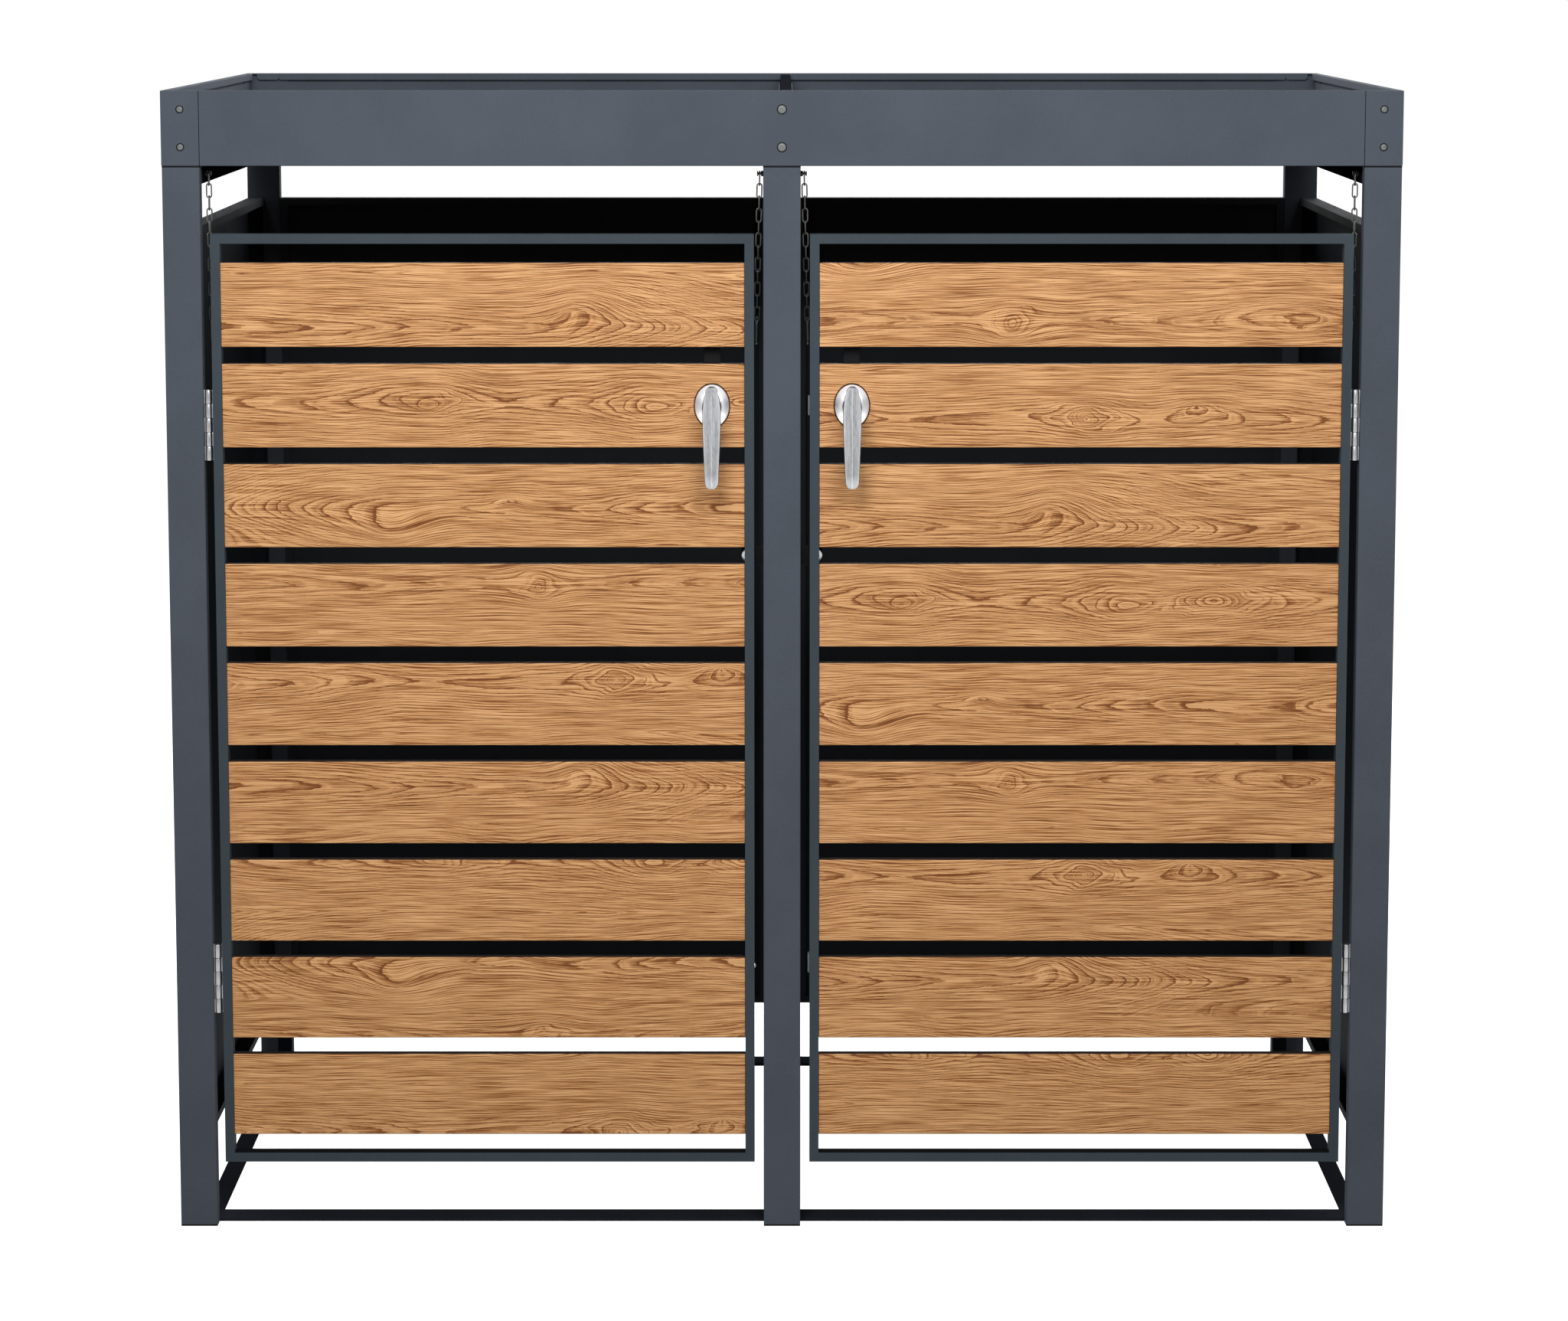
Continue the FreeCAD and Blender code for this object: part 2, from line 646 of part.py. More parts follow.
def make_doors():
    """Both doors with their slats, and the hinges that hang them on the outer posts."""
    bottoms = (door_bottom + HINGE_INSET - HINGE_HEIGHT / 2, door_top - HINGE_INSET - HINGE_HEIGHT / 2)
    for side, turn in (("right", lambda s: s), ("left", flipped)):
        export(f"door_frame_{side}", *(turn(bar) for bar in door_frame()))
        for i in range(slat_count):
            piece = slat(slat_first - i * slat_pitch)
            if i + 1 == HANDLE_SLAT:
                hole = small_bore("y", SPINDLE_HOLE / 2, handle_x, handle_z, SLAT_RECESS, DOOR_DEPTH)
                piece = piece.cut(hole)
            export(f"slat_{side}_{i + 1}", turn(piece))
        export(f"hinge_door_leaves_{side}", *(turn(hinge_leaf(b, True)) for b in bottoms))
    fixed = [hinge_leaf(b, False) for b in bottoms]
    export("hinge_post_leaves", *fixed, *(flipped(s) for s in fixed))


def oval(depth, share):
    """The rosette's many-sided outline at a depth, scaled by a share of its full size."""
    return [place("y", depth, handle_x + x * ROSETTE_WIDTH, handle_z + z * ROSETTE_HEIGHT)
            for x, z in many_sided(share / 2, 0, 0, ROSETTE_SIDES)]


def rosette():
    """The oval plate behind a lever, sloped towards the front and bored for the spindle."""
    front = SLAT_RECESS - ROSETTE_THICKNESS
    back = oval(SLAT_RECESS, 1)
    face = oval(front, ROSETTE_FACE_SHARE)
    bore = small_bore("y", SPINDLE_HOLE / 2, handle_x, handle_z, front - 1, SLAT_RECESS + 1)
    return frustum(back, face).cut(bore)


def lever():
    """The hanging lever: a tapered blade with a ridge down its face, its hub and its spindle."""
    half = LEVER_WIDTH / 2
    flare = handle_z - LEVER_WIDTH / 10
    taper = handle_z - LEVER_TOP
    right = [(handle_x + LEVER_TOP_WIDTH / 2, handle_z + LEVER_TOP), (handle_x + half, flare),
             (handle_x + half, taper), (handle_x + LEVER_TIP_WIDTH / 2, handle_z - LEVER_TIP)]
    left = [(2 * handle_x - x, z) for x, z in right]
    radii = [LEVER_TOP_WIDTH * 0.45, half, LEVER_WIDTH, LEVER_TIP_WIDTH * 0.48]
    outline = prism("y", -2 * LEVER_REACH, 0, right + left[::-1], radii + radii[::-1])

    front = -LEVER_REACH + LEVER_LEAN
    section = [(-LEVER_WIDTH, LEVER_THICKNESS), (-half, LEVER_RIDGE), (0, 0), (half, LEVER_RIDGE),
               (LEVER_WIDTH, LEVER_THICKNESS)]
    corners = [place("z", handle_z + LEVER_TOP, handle_x + x, front + d) for x, d in section]
    face = Part.Face(Part.makePolygon(corners + corners[:1]))
    stock = face.extrude(vec(0, -LEVER_LEAN, -(LEVER_TOP + LEVER_TIP)))
    blade = outline.common(stock)

    plate_front = SLAT_RECESS - ROSETTE_THICKNESS
    hub_front = front + LEVER_THICKNESS * 0.8 - LEVER_LEAN * LEVER_TOP / (LEVER_TOP + LEVER_TIP)
    rim = many_sided(HUB / 2, handle_x, handle_z, HUB_SIDES)
    hub = prism("y", hub_front, plate_front - HUB_SPACE, rim)
    half = SPINDLE / 2
    square = rectangle((handle_x - half, handle_z - half), (handle_x + half, handle_z + half))
    end = POST_DEPTH + LATCH_SPACE + LATCH_THICKNESS
    spindle = prism("y", plate_front - HUB_SPACE, end, square)
    return blade.fuse([hub, spindle]).removeSplitter()


def latch():
    """The tongue on the spindle's square end, standing up at rest, and the head that holds it."""
    start = POST_DEPTH + LATCH_SPACE
    half = LATCH_WIDTH / 2
    low, high = (handle_x - half, handle_z - half), (handle_x + half, handle_z + LATCH_REACH)
    blade = prism("y", start, start + LATCH_THICKNESS, clipped(low, high, half / 2))
    hole = SPINDLE / 2 + SPINDLE_CLEARANCE
    square = rectangle((handle_x - hole, handle_z - hole), (handle_x + hole, handle_z + hole))
    blade = blade.cut(prism("y", start - 1, start + LATCH_THICKNESS + 1, square))
    corner = NUT_ACROSS / math.sqrt(3)
    points = [(handle_x + corner * math.cos(math.radians(60 * i)),
               handle_z + corner * math.sin(math.radians(60 * i))) for i in range(6)]
    seat = start + LATCH_THICKNESS
    return [blade, prism("y", seat, seat + NUT_THICKNESS, points)]


def make_handles():
    """A rosette, a lever and a latch on each door."""
    for side, turn in (("right", lambda s: s), ("left", flipped)):
        export(f"handle_rosette_{side}", turn(rosette()))
        export(f"handle_lever_{side}", turn(lever()))
        export(f"latch_tongue_{side}", *(turn(s) for s in latch()))


def make_stops():
    """The strap and magnets that the doors close against, and the right door's buffer plates."""
    reach = door_in + STOP_OVERLAP
    half = STOP_STRAP / 2
    strap = prism("y", POST_DEPTH, POST_DEPTH + STOP_SHEET,
                  clipped((-reach, STOP_HEIGHT - half), (reach, STOP_HEIGHT + half), half / 4))
    front = DOOR_DEPTH + MAGNET_SPACE
    x = reach - MAGNET / 2
    pot = small_bar("y", MAGNET / 2, x, STOP_HEIGHT, front, POST_DEPTH)
    pot = pot.cut(small_bar("y", MAGNET_CORE / 2, x, STOP_HEIGHT, front, front + MAGNET_SPACE))
    export("door_stop", strap, pot, flipped(pot))

    depth = ((DOOR_DEPTH - BUFFER_DEPTH) / 2, (DOOR_DEPTH + BUFFER_DEPTH) / 2)
    plates = [box((door_in - BUFFER_THICKNESS, door_in), depth,
                  (z - BUFFER_HEIGHT / 2, z + BUFFER_HEIGHT / 2)) for z in (handle_z, BUFFER_LOWER)]
    export("buffer_plates_right", *plates)


def link(length, width, wire):
    """A long link in the XZ plane about the origin: a six-sided wire mitred round a stadium."""
    bend = (width - wire) / 2
    straight = length - wire - 2 * bend * math.sin(math.radians(60))
    path = []
    for end, first in ((1, 0), (-1, 180)):
        for turn in (0, 60, 120, 180):
            angle = math.radians(first + turn)
            path.append(vec(bend * math.cos(angle), 0, end * straight / 2 + bend * math.sin(angle)))
    count = len(path)
    rings = []
    for i in range(count):
        before = (path[i] - path[i - 1]).normalize()
        after = (path[(i + 1) % count] - path[i]).normalize()
        along = (before + after).normalize()
        out = along.cross(vec(0, 1, 0))
        spread = 1 / math.cos(before.getAngle(after) / 2)
        ring = []
        for k in range(LINK_SIDES):
            angle = math.radians(360 * k / LINK_SIDES)
            offset = out * (math.cos(angle) * spread) + vec(0, math.sin(angle), 0)
            ring.append(path[i] + offset * (wire / 2))
        rings.append(ring)
    faces = []
    for i in range(count):
        one, two = rings[i], rings[(i + 1) % count]
        for k in range(LINK_SIDES):
            n = (k + 1) % LINK_SIDES
            faces.append(Part.Face(Part.makePolygon([one[k], one[n], two[n], two[k], one[k]])))
    solid = Part.makeSolid(Part.makeShell(faces))
    if solid.Volume < 0:
        solid.reverse()
    return solid


def chain(x, lean):
    """Links hung from a hook at x, turned alternately and leaning by an angle, and the end ring."""
    length = LINK_PITCH + 2 * LINK_WIRE + LINK_SPACE
    plain = link(length, LINK_WIDTH, LINK_WIRE)
    turned = plain.copy()
    turned.rotate(vec(0, 0, 0), vec(0, 0, 1), 90)
    first_drop = length / 2 - LINK_WIRE - HOOK_SHANK / 2 - LINK_SPACE
    pieces = []
    for i in range(LINK_COUNT):
        piece = (turned if i % 2 == 0 else plain).copy()
        piece.translate(vec(0, 0, -first_drop - i * LINK_PITCH))
        pieces.append(piece)
    ring = link(RING_LENGTH, RING_WIDTH, RING_WIRE)
    if LINK_COUNT % 2 == 0:
        ring.rotate(vec(0, 0, 0), vec(0, 0, 1), 90)
    last = -first_drop - (LINK_COUNT - 1) * LINK_PITCH - length / 2 + LINK_WIRE
    ring.translate(vec(0, 0, last + LINK_SPACE + RING_WIRE - RING_LENGTH / 2))
    pieces.append(ring)
    for piece in pieces:
        piece.rotate(vec(0, 0, 0), vec(0, 1, 0), lean)
        piece.translate(vec(x, front_y + CHAIN_DEPTH, chain_z))
    return pieces


def hook(face, sense):
    """A headed stud in the side of a top rail, on which a chain's first link hangs."""
    end = face + sense * (CHAIN_OUT + HOOK_END_SPACE)
    shank = small_bar("x", HOOK_SHANK / 2, CHAIN_DEPTH, chain_z, face, end)
    far = end + sense * HOOK_HEAD_THICKNESS
    return shank.fuse(small_bar("x", HOOK_HEAD / 2, CHAIN_DEPTH, chain_z, end, far))


def make_chains():
    """Two lid chains in each bay, on hooks in the rails at its sides."""
    outer = chain(post_in - CHAIN_OUT, CHAIN_LEAN_OUTER)
    inner = chain(centre_in + CHAIN_OUT, -CHAIN_LEAN_INNER)
    export("chain_right_outer", *outer)
    export("chain_right_inner", *inner)
    export("chain_left_outer", *(flipped(s) for s in outer))
    export("chain_left_inner", *(flipped(s) for s in inner))
    hooks = [hook(post_in, -1), hook(centre_in, 1)]
    export("chain_hooks", *hooks, *(flipped(s) for s in hooks))


os.makedirs("parts", exist_ok=True)
make_posts()
make_rails()
make_panels()
make_roof()
make_doors()
make_handles()
make_stops()
make_chains()
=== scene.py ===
"""A store for two wheelie bins: coated frame, oak-decor slats, brushed handles and lid chains."""

import math

import bmesh
import bpy
import numpy as np
from bpy.props import FloatProperty, FloatVectorProperty, IntProperty, PointerProperty
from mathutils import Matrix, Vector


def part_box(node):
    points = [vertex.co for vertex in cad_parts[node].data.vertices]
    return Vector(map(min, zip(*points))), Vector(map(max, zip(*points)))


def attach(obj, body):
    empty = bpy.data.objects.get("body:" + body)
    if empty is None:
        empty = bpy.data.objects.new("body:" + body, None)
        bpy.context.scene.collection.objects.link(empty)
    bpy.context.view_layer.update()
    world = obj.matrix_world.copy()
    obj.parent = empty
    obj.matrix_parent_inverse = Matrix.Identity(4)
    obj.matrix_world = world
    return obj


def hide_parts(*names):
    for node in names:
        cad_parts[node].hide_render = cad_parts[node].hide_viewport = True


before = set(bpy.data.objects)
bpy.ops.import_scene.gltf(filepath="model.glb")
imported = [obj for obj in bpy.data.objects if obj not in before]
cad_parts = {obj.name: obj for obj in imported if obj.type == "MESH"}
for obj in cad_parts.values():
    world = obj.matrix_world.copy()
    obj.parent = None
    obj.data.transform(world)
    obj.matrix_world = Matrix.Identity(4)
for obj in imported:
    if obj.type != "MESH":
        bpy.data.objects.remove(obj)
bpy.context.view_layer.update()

bl_info = {
    "name": "Wheelie Bin Store",
    "version": (1, 0, 0),
    "blender": (4, 5, 0),
    "location": "View3D > Sidebar > Bin Store",
    "description": "Dresses the frame of a two-bin store with its boards, coatings and hardware",
    "category": "Object",
}

SIDES = (("right", 1), ("left", -1))
SLATS = 9
MM = 0.001

# Places on the right half in metres, which the left half mirrors. FRONT is the plane of the
# posts' front faces.
FRONT = -0.380
POST_INNER = 0.620
CENTRE_POST_SIDE = 0.020
DOOR_INNER = 0.030
DOOR_OUTER = 0.610

# Hinges: the pin's axis, their lower ends, their knuckles, and the webs and leaves beside them
HINGE_AXIS = (0.615, FRONT + 0.004, 0.0)
HINGE_BOTTOMS = (0.239, 0.845)
HINGE_HEIGHT = 0.076
KNUCKLES = 5
KNUCKLE_HEIGHT = 0.0152
KNUCKLE_GAP = 0.00012
WEB_WIDTH = 0.0028
WEB_DEPTH = 0.0035
LEAF_WIDTH = 0.0014
LEAF_FRONT = FRONT + 0.0062
LEAF_BACK = FRONT + 0.017

# Handles: the plate's middle in the plane of FRONT, and depths measured from that plane
HANDLE = np.array([0.075, FRONT, 0.904])
PLATE_OVAL = (1.0, 46.5 / 37.4)
PLATE_SIDES = 96
HUB_BACK = -0.0053
TONGUE_FRONT = 0.0206
TONGUE_BACK = 0.0236
SPINDLE_HALF = 0.004

# Door stop with its magnets, and the small parts of the doors
STOP = np.array([0.0, FRONT, 0.740])
STRAP_HALF_LENGTH = 0.0435
STRAP_HALF_HEIGHT = 0.0105
STRAP_FRONT = 0.020
STRAP_BACK = 0.022
MAGNET = STOP + (0.0359, 0.0, 0.0)
BUFFER_HEIGHTS = (0.904, 0.294)
BUFFER_HALF = 0.01035
EDGE_SCREW = (-DOOR_INNER, FRONT + 0.009, 0.291)
# Painted shadow on the top of each door's bottom bar, under the lowest slat: the strip's two
# corners
SILL_PAINTED_SHADOW = ((0.0402, FRONT + 0.0006, 0.0824), (0.5998, FRONT + 0.0174, 0.0828))

# Chains: which one, its place, its lean in degrees, the face that its stud stands on, which is
# in line with a post's, and the way the stud points
CHAINS = (("outer", 0.6161, 0.3, POST_INNER, -1), ("inner", 0.0239, -1.2, CENTRE_POST_SIDE, 1))
HOOK = np.array([0.0, FRONT + 0.048, 1.150])
HOOK_SHANK = 0.0026
LINKS = 12
LINK_PITCH = 0.0132
LINK_WIDTH = 0.0068
LINK_SPACE = 0.0003
RING_LENGTH = 0.030
RING_WIDTH = 0.014
RING_WIRE = 0.0026

# Roof: its screws with painted shadow rings under their heads, the painted shadow caps on the posts
# and the painted shadows in the joints beside the corner pieces
ROOF_SCREW_HEIGHTS = (1.220, 1.180)
SCREW_HEIGHT = 0.0016
SHADOW_RING_RIM = 0.0009
SHADOW_RING_HEIGHT = 0.0002
SHADOW_CAP_HEIGHT = 0.0016
SHADOW_CAP_EDGE = 0.0001
JOINT_FROM_SIDE = 0.0406
JOINT_HALF_WIDTH = 0.0004
JOINT_HALF_DEPTH = 0.00055

# Divisions of a rounded edge, and pebble size of moulded plastic
EDGE_STEPS = 3
PLASTIC_PEBBLE = 0.0009

# The decor sheet that all boards are cut from repeats every 499 mm of height. The left door's
# boards show it from its left edge, the right door's from further along and higher up.
DECOR_REPEAT = 499.0
DECOR_PLACE = {"left": (0.0, 0.0), "right": (132.0, 215.0)}
FIRST_BOARD_BASE = 967.0

# Flowered bands of the decor sheet, from the lowest up: the height of the band's heart line
# above the base of the first board; which way its rings end sharply, 0 for outwards and 1
# for inwards; then points of a place along the sheet and the number of rings cut there.
BANDS = (
    (21.0, 0.0,
     ((-60, 0.0), (0, 0.8), (23, 1), (102, 2), (160, 3), (200, 4), (274, 5), (330, 5.5), (372, 6),
      (396, 7), (418, 8), (435, 9), (454, 10), (467, 11), (479, 12), (494, 13), (506, 14),
      (519, 15), (542, 16), (562, 17), (607, 18), (650, 19), (720, 20))),
    (136.0, 0.0,
     ((-60, 0), (0, 1.6), (12, 2), (27, 2.5), (81, 3), (116, 4), (165, 5), (204, 6), (215, 6.1),
      (227, 6), (300, 5.4), (380, 5), (421, 4.6), (455, 5), (480, 5.3), (505, 5.0), (535, 4.6),
      (570, 5), (591, 6), (641, 7), (679, 8), (720, 9))),
    (244.0, 0.3,
     ((-60, -0.8), (0, 0.2), (81, 1), (158, 2), (225, 3), (290, 3.7), (338, 3.9), (380, 3.7),
      (434, 3), (487, 2), (553, 1), (580, 0), (610, -0.8), (640, -1.2), (656, -1.3), (680, -0.6),
      (720, 0.5))),
    (325.0, 1.0,
     ((-60, 17), (0, 11.7), (8, 11), (19, 10), (31, 9), (42, 8), (56, 7), (70, 6), (88, 5),
      (108, 4), (135, 3), (150, 2.5), (162, 2), (175, 1.6), (215, 1.4), (252, 1.3), (267, 1),
      (308, 0.7), (345, 0.3), (379, 0), (422, -1), (449, -2), (488, -3), (532, -4), (575, -4.5),
      (620, -4.8), (648, -5), (660, -6), (720, -7.4))),
    (440.0, 1.0,
     ((-60, 6), (0, 5.4), (25, 5), (92, 4), (133, 3), (150, 2.6), (172, 2), (200, 1.6),
      (221, 1.4), (240, 1.7), (258, 2.4), (287, 3.6), (306, 4.1), (315, 4), (358, 3), (394, 2),
      (415, 1), (437, 0), (448, -0.7), (462, -1), (478, -0.7), (492, 0), (508, 0.3), (530, -0.2),
      (556, -0.9), (585, 0), (610, 1), (640, 2.2), (670, 3), (720, 4))),
)
# Rises of the ring lines: place along the sheet, height, reach along, reach up and amount.
RISES = (
    (386, 40, 34, 20, 10), (402, 64, 66, 26, 6), (455, 37, 46, 18, -3), (384, 8, 40, 12, -2),
    (421, 118, 60, 14, -4), (190, 114, 70, 16, 5), (535, 148, 30, 10, 3), (421, 156, 50, 14, 5),
    (338, 228, 42, 16, -8), (338, 258, 34, 14, 7), (610, 254, 50, 14, 4),
    (178, 301, 44, 20, -13), (100, 299, 70, 22, -4), (308, 333, 20, 10, 4),
    (200, 456, 60, 12, 3), (455, 424, 60, 12, -3), (100, 424, 90, 12, -2),
)
# Knots and eyes: place along the sheet, height, half length, half height, number of rings, and how
# its bell falls away, 1 for a knot's crowded rings and 2 for an eye's even ones.
KNOTS = (
    (338, 243, 9, 4, 3.0, 1), (338, 240, 22, 9, 1.2, 2),
    (421, 137, 7, 4, 3.0, 1), (421, 140, 36, 13, 2.4, 2),
    (535, 147, 8, 5, 2.4, 1), (535, 143, 22, 8, 1.2, 2),
    (226, 434, 12, 5, 1.5, 2), (221, 440, 26, 9, 1.4, 2), (282, 437, 15, 3, 1.1, 2),
    (308, 330, 10, 3, 1.2, 1), (462, 438, 24, 7, 1.4, 2),
    (556, 441, 7, 3, 1.2, 1), (556, 441, 40, 13, 3.4, 2),
    (644, 234, 9, 3, 1.2, 1), (370, 27, 12, 3, 0.5, 2),
)
RING_SPACING = 2.4
HEART_WIDTH = 17.0
NEAR_REACH = 22.0

# The lamps: name, value that holds the power, place, aim and size
LAMPS = (
    ("key_lamp", "key", (-0.55, -2.55, 2.15), (0.0, -0.4, 0.85), 0.9),
    ("fill_lamp", "fill", (0.55, -2.55, 2.05), (0.0, -0.4, 0.85), 1.1),
    ("back_lamp", "around", (0.3, 3.2, 2.2), (0.0, 0.4, 0.7), 2.6),
    ("right_lamp", "around", (3.2, 0.9, 2.2), (0.6, 0.0, 0.7), 2.2),
    ("left_lamp", "around", (-3.2, 0.9, 2.2), (-0.6, 0.0, 0.7), 2.2),
)
CAMERA_SIDE = 0.0022
VIEW_END = 200.0
FLOOR_HALF = 30.0
FLOOR_DROP = 0.0005


def linear(red, green, blue):
    """A colour as measured on a screen, 0 to 255, turned into the linear values of a material."""
    c = np.array([red, green, blue]) / 255.0
    c = np.where(c <= 0.04045, c / 12.92, ((c + 0.055) / 1.055) ** 2.4)
    return tuple(float(v) for v in c)


# ---- Values that a user would change


def colour_value(name, description, red, green, blue):
    return FloatVectorProperty(name=name, description=description, subtype="COLOR", size=3,
                               min=0.0, max=1.0, default=linear(red, green, blue))


def length_value(name, description, millimetres):
    return FloatProperty(name=name, description=description, subtype="DISTANCE", unit="LENGTH",
                         min=0.0, default=millimetres * MM)


class BinStoreCoatings(bpy.types.PropertyGroup):
    """Colours and texture of the powder-coated metal."""

    frame_colour: colour_value("Frame", "Powder coat of the posts and the roof frame", 86, 92, 102)
    door_colour: colour_value("Doors", "Powder coat of the door frames", 70, 79, 86)
    # The panels' coats are the frame's anthracite made darker, the side panels more than the back:
    # painted shade for the shade inside the store
    side_colour: colour_value("Side panels", "Powder coat of the side panels", 40, 43, 48)
    back_colour: colour_value("Back panels", "Powder coat of the back panels", 58, 61, 66)
    tray_colour: colour_value("Trays", "Powder coat of the planting trays", 84, 89, 98)
    # A darker copy of the frame's anthracite: painted shade for the rails and the centre bar
    rail_colour: colour_value("Rails", "Powder coat of the rails and the centre bar", 38, 41, 47)
    foot_colour: colour_value("Feet", "Plastic of the feet", 30, 30, 32)
    # Black that is painted shade: the shadow caps on the posts, the strips in the roof's corner
    # joints and the rings under the screw heads
    painted_shade_colour: colour_value("Caps", "Plastic of the caps on the posts", 10, 10, 11)
    pebble: length_value("Texture size", "Size of the powder coat's pebbles", 0.55)


class BinStoreBoards(bpy.types.PropertyGroup):
    """Colours and shape of the slats."""

    light: colour_value("Light wood", "Early wood of the decor", 243, 188, 132)
    middle: colour_value("Middle wood", "Ground colour of the decor", 198, 138, 80)
    dark: colour_value("Dark wood", "Ring lines of the decor", 122, 68, 27)
    core: colour_value("Core", "Board edges round the decor", 40, 33, 28)
    arris: length_value("Arris", "Radius of the boards' edges", 0.9)
    along: IntProperty(name="Steps along", description="Divisions of a board's length",
                       min=8, max=400, default=180)
    across: IntProperty(name="Steps across", description="Divisions of a board's height",
                        min=4, max=120, default=56)


class BinStoreHardware(bpy.types.PropertyGroup):
    """Colours and sizes of hinges, handles, chains and screws."""

    lever_colour: colour_value("Lever", "Brushed steel of the levers", 132, 133, 135)
    rosette_colour: colour_value("Rosette", "Brushed steel of the oval plates", 232, 232, 234)
    hinge_colour: colour_value("Hinges", "Steel of the hinges", 150, 150, 152)
    screw_colour: colour_value("Screws", "Steel of screw heads and bolts", 112, 114, 113)
    # Zinc plate, made darker as painted shade for the shade inside the store
    zinc_colour: colour_value("Chains", "Zinc plate of the chains", 98, 100, 97)
    # Zinc plate made darker than the chains' as painted shade for the hooks under the roof
    shaded_hook_colour: colour_value("Hooks", "Zinc plate of the studs that hold the chains", 62, 63, 62)
    magnet_colour: colour_value("Magnets", "Nickel plate of the pot magnets", 190, 191, 193)
    latch_colour: colour_value("Latches", "Black steel of the latch tongues", 24, 24, 26)
    buffer_colour: colour_value("Buffers", "Plastic of the buffer plates", 118, 122, 126)
    # Rubber gasket; its rim just past the plate also stands for the plate's shadow outline
    gasket_colour: colour_value("Gasket", "Rubber under the oval plates", 16, 16, 17)
    wire: length_value("Chain wire", "Thickness of the chain links", 1.6)
    knuckle: length_value("Knuckle", "Diameter of the hinge knuckles", 7.2)


class BinStoreStage(bpy.types.PropertyGroup):
    """Camera, floor and light."""

    lens: FloatProperty(name="Lens", description="Focal length", subtype="DISTANCE_CAMERA",
                        min=10.0, default=105.4)
    camera_height: length_value("Camera height", "Height of the lens over the ground", 1370)
    camera_distance: length_value("Camera distance", "From the lens to the posts' front", 4902)
    aim_height: length_value("Aim height", "Where the view's middle meets the front", 688)
    rise: FloatProperty(name="Lens shift", description="Vertical shift of the lens",
                        default=-0.035)
    floor_colour: colour_value("Floor", "Pale ground under the store", 232, 232, 232)
    bounce: colour_value("Bounce", "Ground as the store's own light finds it", 92, 90, 88)
    ambient: FloatProperty(name="Ambient", description="Light from all round",
                           min=0.0, default=0.12)
    key: FloatProperty(name="Key light", description="Power of the lamp over the front left",
                       subtype="POWER", min=0.0, default=34.5)
    fill: FloatProperty(name="Fill light", description="Power of the lamp over the front right",
                        subtype="POWER", min=0.0, default=28.5)
    around: FloatProperty(name="Side light", description="Power of the lamps beside and behind",
                          subtype="POWER", min=0.0, default=60.0)


# ---- Surfaces


def skin(points, sense=1, loop=False, ring=True):
    """Quads over a grid of points in rows, their X turned round where sense is -1. Each row is
    joined into a ring, and flat faces close the two ends, or with loop the last row is joined to
    the first. Without ring the grid is an open sheet."""
    rows, columns = points.shape[:2]
    index = np.arange(rows * columns).reshape(rows, columns)
    upper = np.vstack([index, index[:1]]) if loop else index
    left = upper if ring else upper[:, :-1]
    right = np.roll(upper, -1, axis=1) if ring else upper[:, 1:]
    faces = np.stack([left[:-1], right[:-1], right[1:], left[1:]], axis=-1).reshape(-1, 4).tolist()
    if ring and not loop:
        faces += [index[0, ::-1].tolist(), index[-1].tolist()]
    return points.reshape(-1, 3) * np.array([sense, 1, 1]), faces


def both(grid, loop=False):
    """The shells of a grid on the right and, mirrored, on the left."""
    return [skin(grid, sense, loop) for _, sense in SIDES]


def rounded_slab(low, high, radius, along=0, steps=1, runs=(1, 1, 1, 1)):
    """A board or plate with rounded edges. A point is a point of the box shrunk by the radius, plus
    the radius times an outward direction. Rows go along one axis, and at both ends the outward
    part shrinks as a cosine while the row moves out as a sine. Gives the grid, the directions
    round a row, and each row's share of them."""
    low, high = np.array(low, float), np.array(high, float)
    a, b = [k for k in range(3) if k != along]
    inner = np.array([low + radius, high - radius])
    corners = [np.array([inner[i, a], inner[j, b]]) for i, j in ((1, 1), (0, 1), (0, 0), (1, 0))]
    base, out = [], []
    for turn, corner in enumerate(corners):
        angle = np.linspace(turn * math.pi / 2, (turn + 1) * math.pi / 2, EDGE_STEPS + 1)
        base.append(np.tile(corner, (EDGE_STEPS + 1, 1)))
        out.append(np.column_stack([np.cos(angle), np.sin(angle)]))
        way = np.linspace(0, 1, runs[turn] + 1)[1:-1, None]
        base.append(corner + (corners[(turn + 1) % 4] - corner) * way)
        out.append(np.tile(out[-1][-1], (runs[turn] - 1, 1)))
    base, out = np.vstack(base), np.vstack(out)
    turn = np.radians(np.linspace(80, 0, EDGE_STEPS + 1))
    reach = radius * np.sin(turn)
    middle = np.linspace(inner[0, along], inner[1, along], steps + 1)[1:-1]
    place = np.concatenate([inner[0, along] - reach, middle, inner[1, along] + reach[::-1]])
    share = np.concatenate([np.cos(turn), np.ones(len(middle)), np.cos(turn[::-1])])
    grid = np.empty((len(place), len(base), 3))
    grid[..., along] = place[:, None]
    grid[..., [a, b]] = base[None] + out[None] * radius * share[:, None, None]
    return grid, out, share


def slab(low, high, radius, along, steps=1):
    """The grid of a rounded slab alone."""
    return rounded_slab(low, high, radius, along, steps)[0]


def turned(profile, centre, axis, sides, oval=(1.0, 1.0), half=False):
    """A turned piece: each pair of the profile is a radius and a distance along the axis, and the
    radius goes round the axis in a circle stretched by the oval's two factors, or round the half
    of it that lies low on the first axis."""
    profile = np.array(profile, float)
    a, b = [k for k in range(3) if k != axis]
    angle = np.linspace(0, 2 * math.pi, sides, endpoint=False)
    if half:
        angle = np.linspace(math.pi / 2, 3 * math.pi / 2, sides)
    grid = np.empty((len(profile), sides, 3))
    grid[..., a] = centre[a] + profile[:, :1] * np.cos(angle) * oval[0]
    grid[..., b] = centre[b] + profile[:, :1] * np.sin(angle) * oval[1]
    grid[..., axis] = centre[axis] + profile[:, 1:]
    return grid


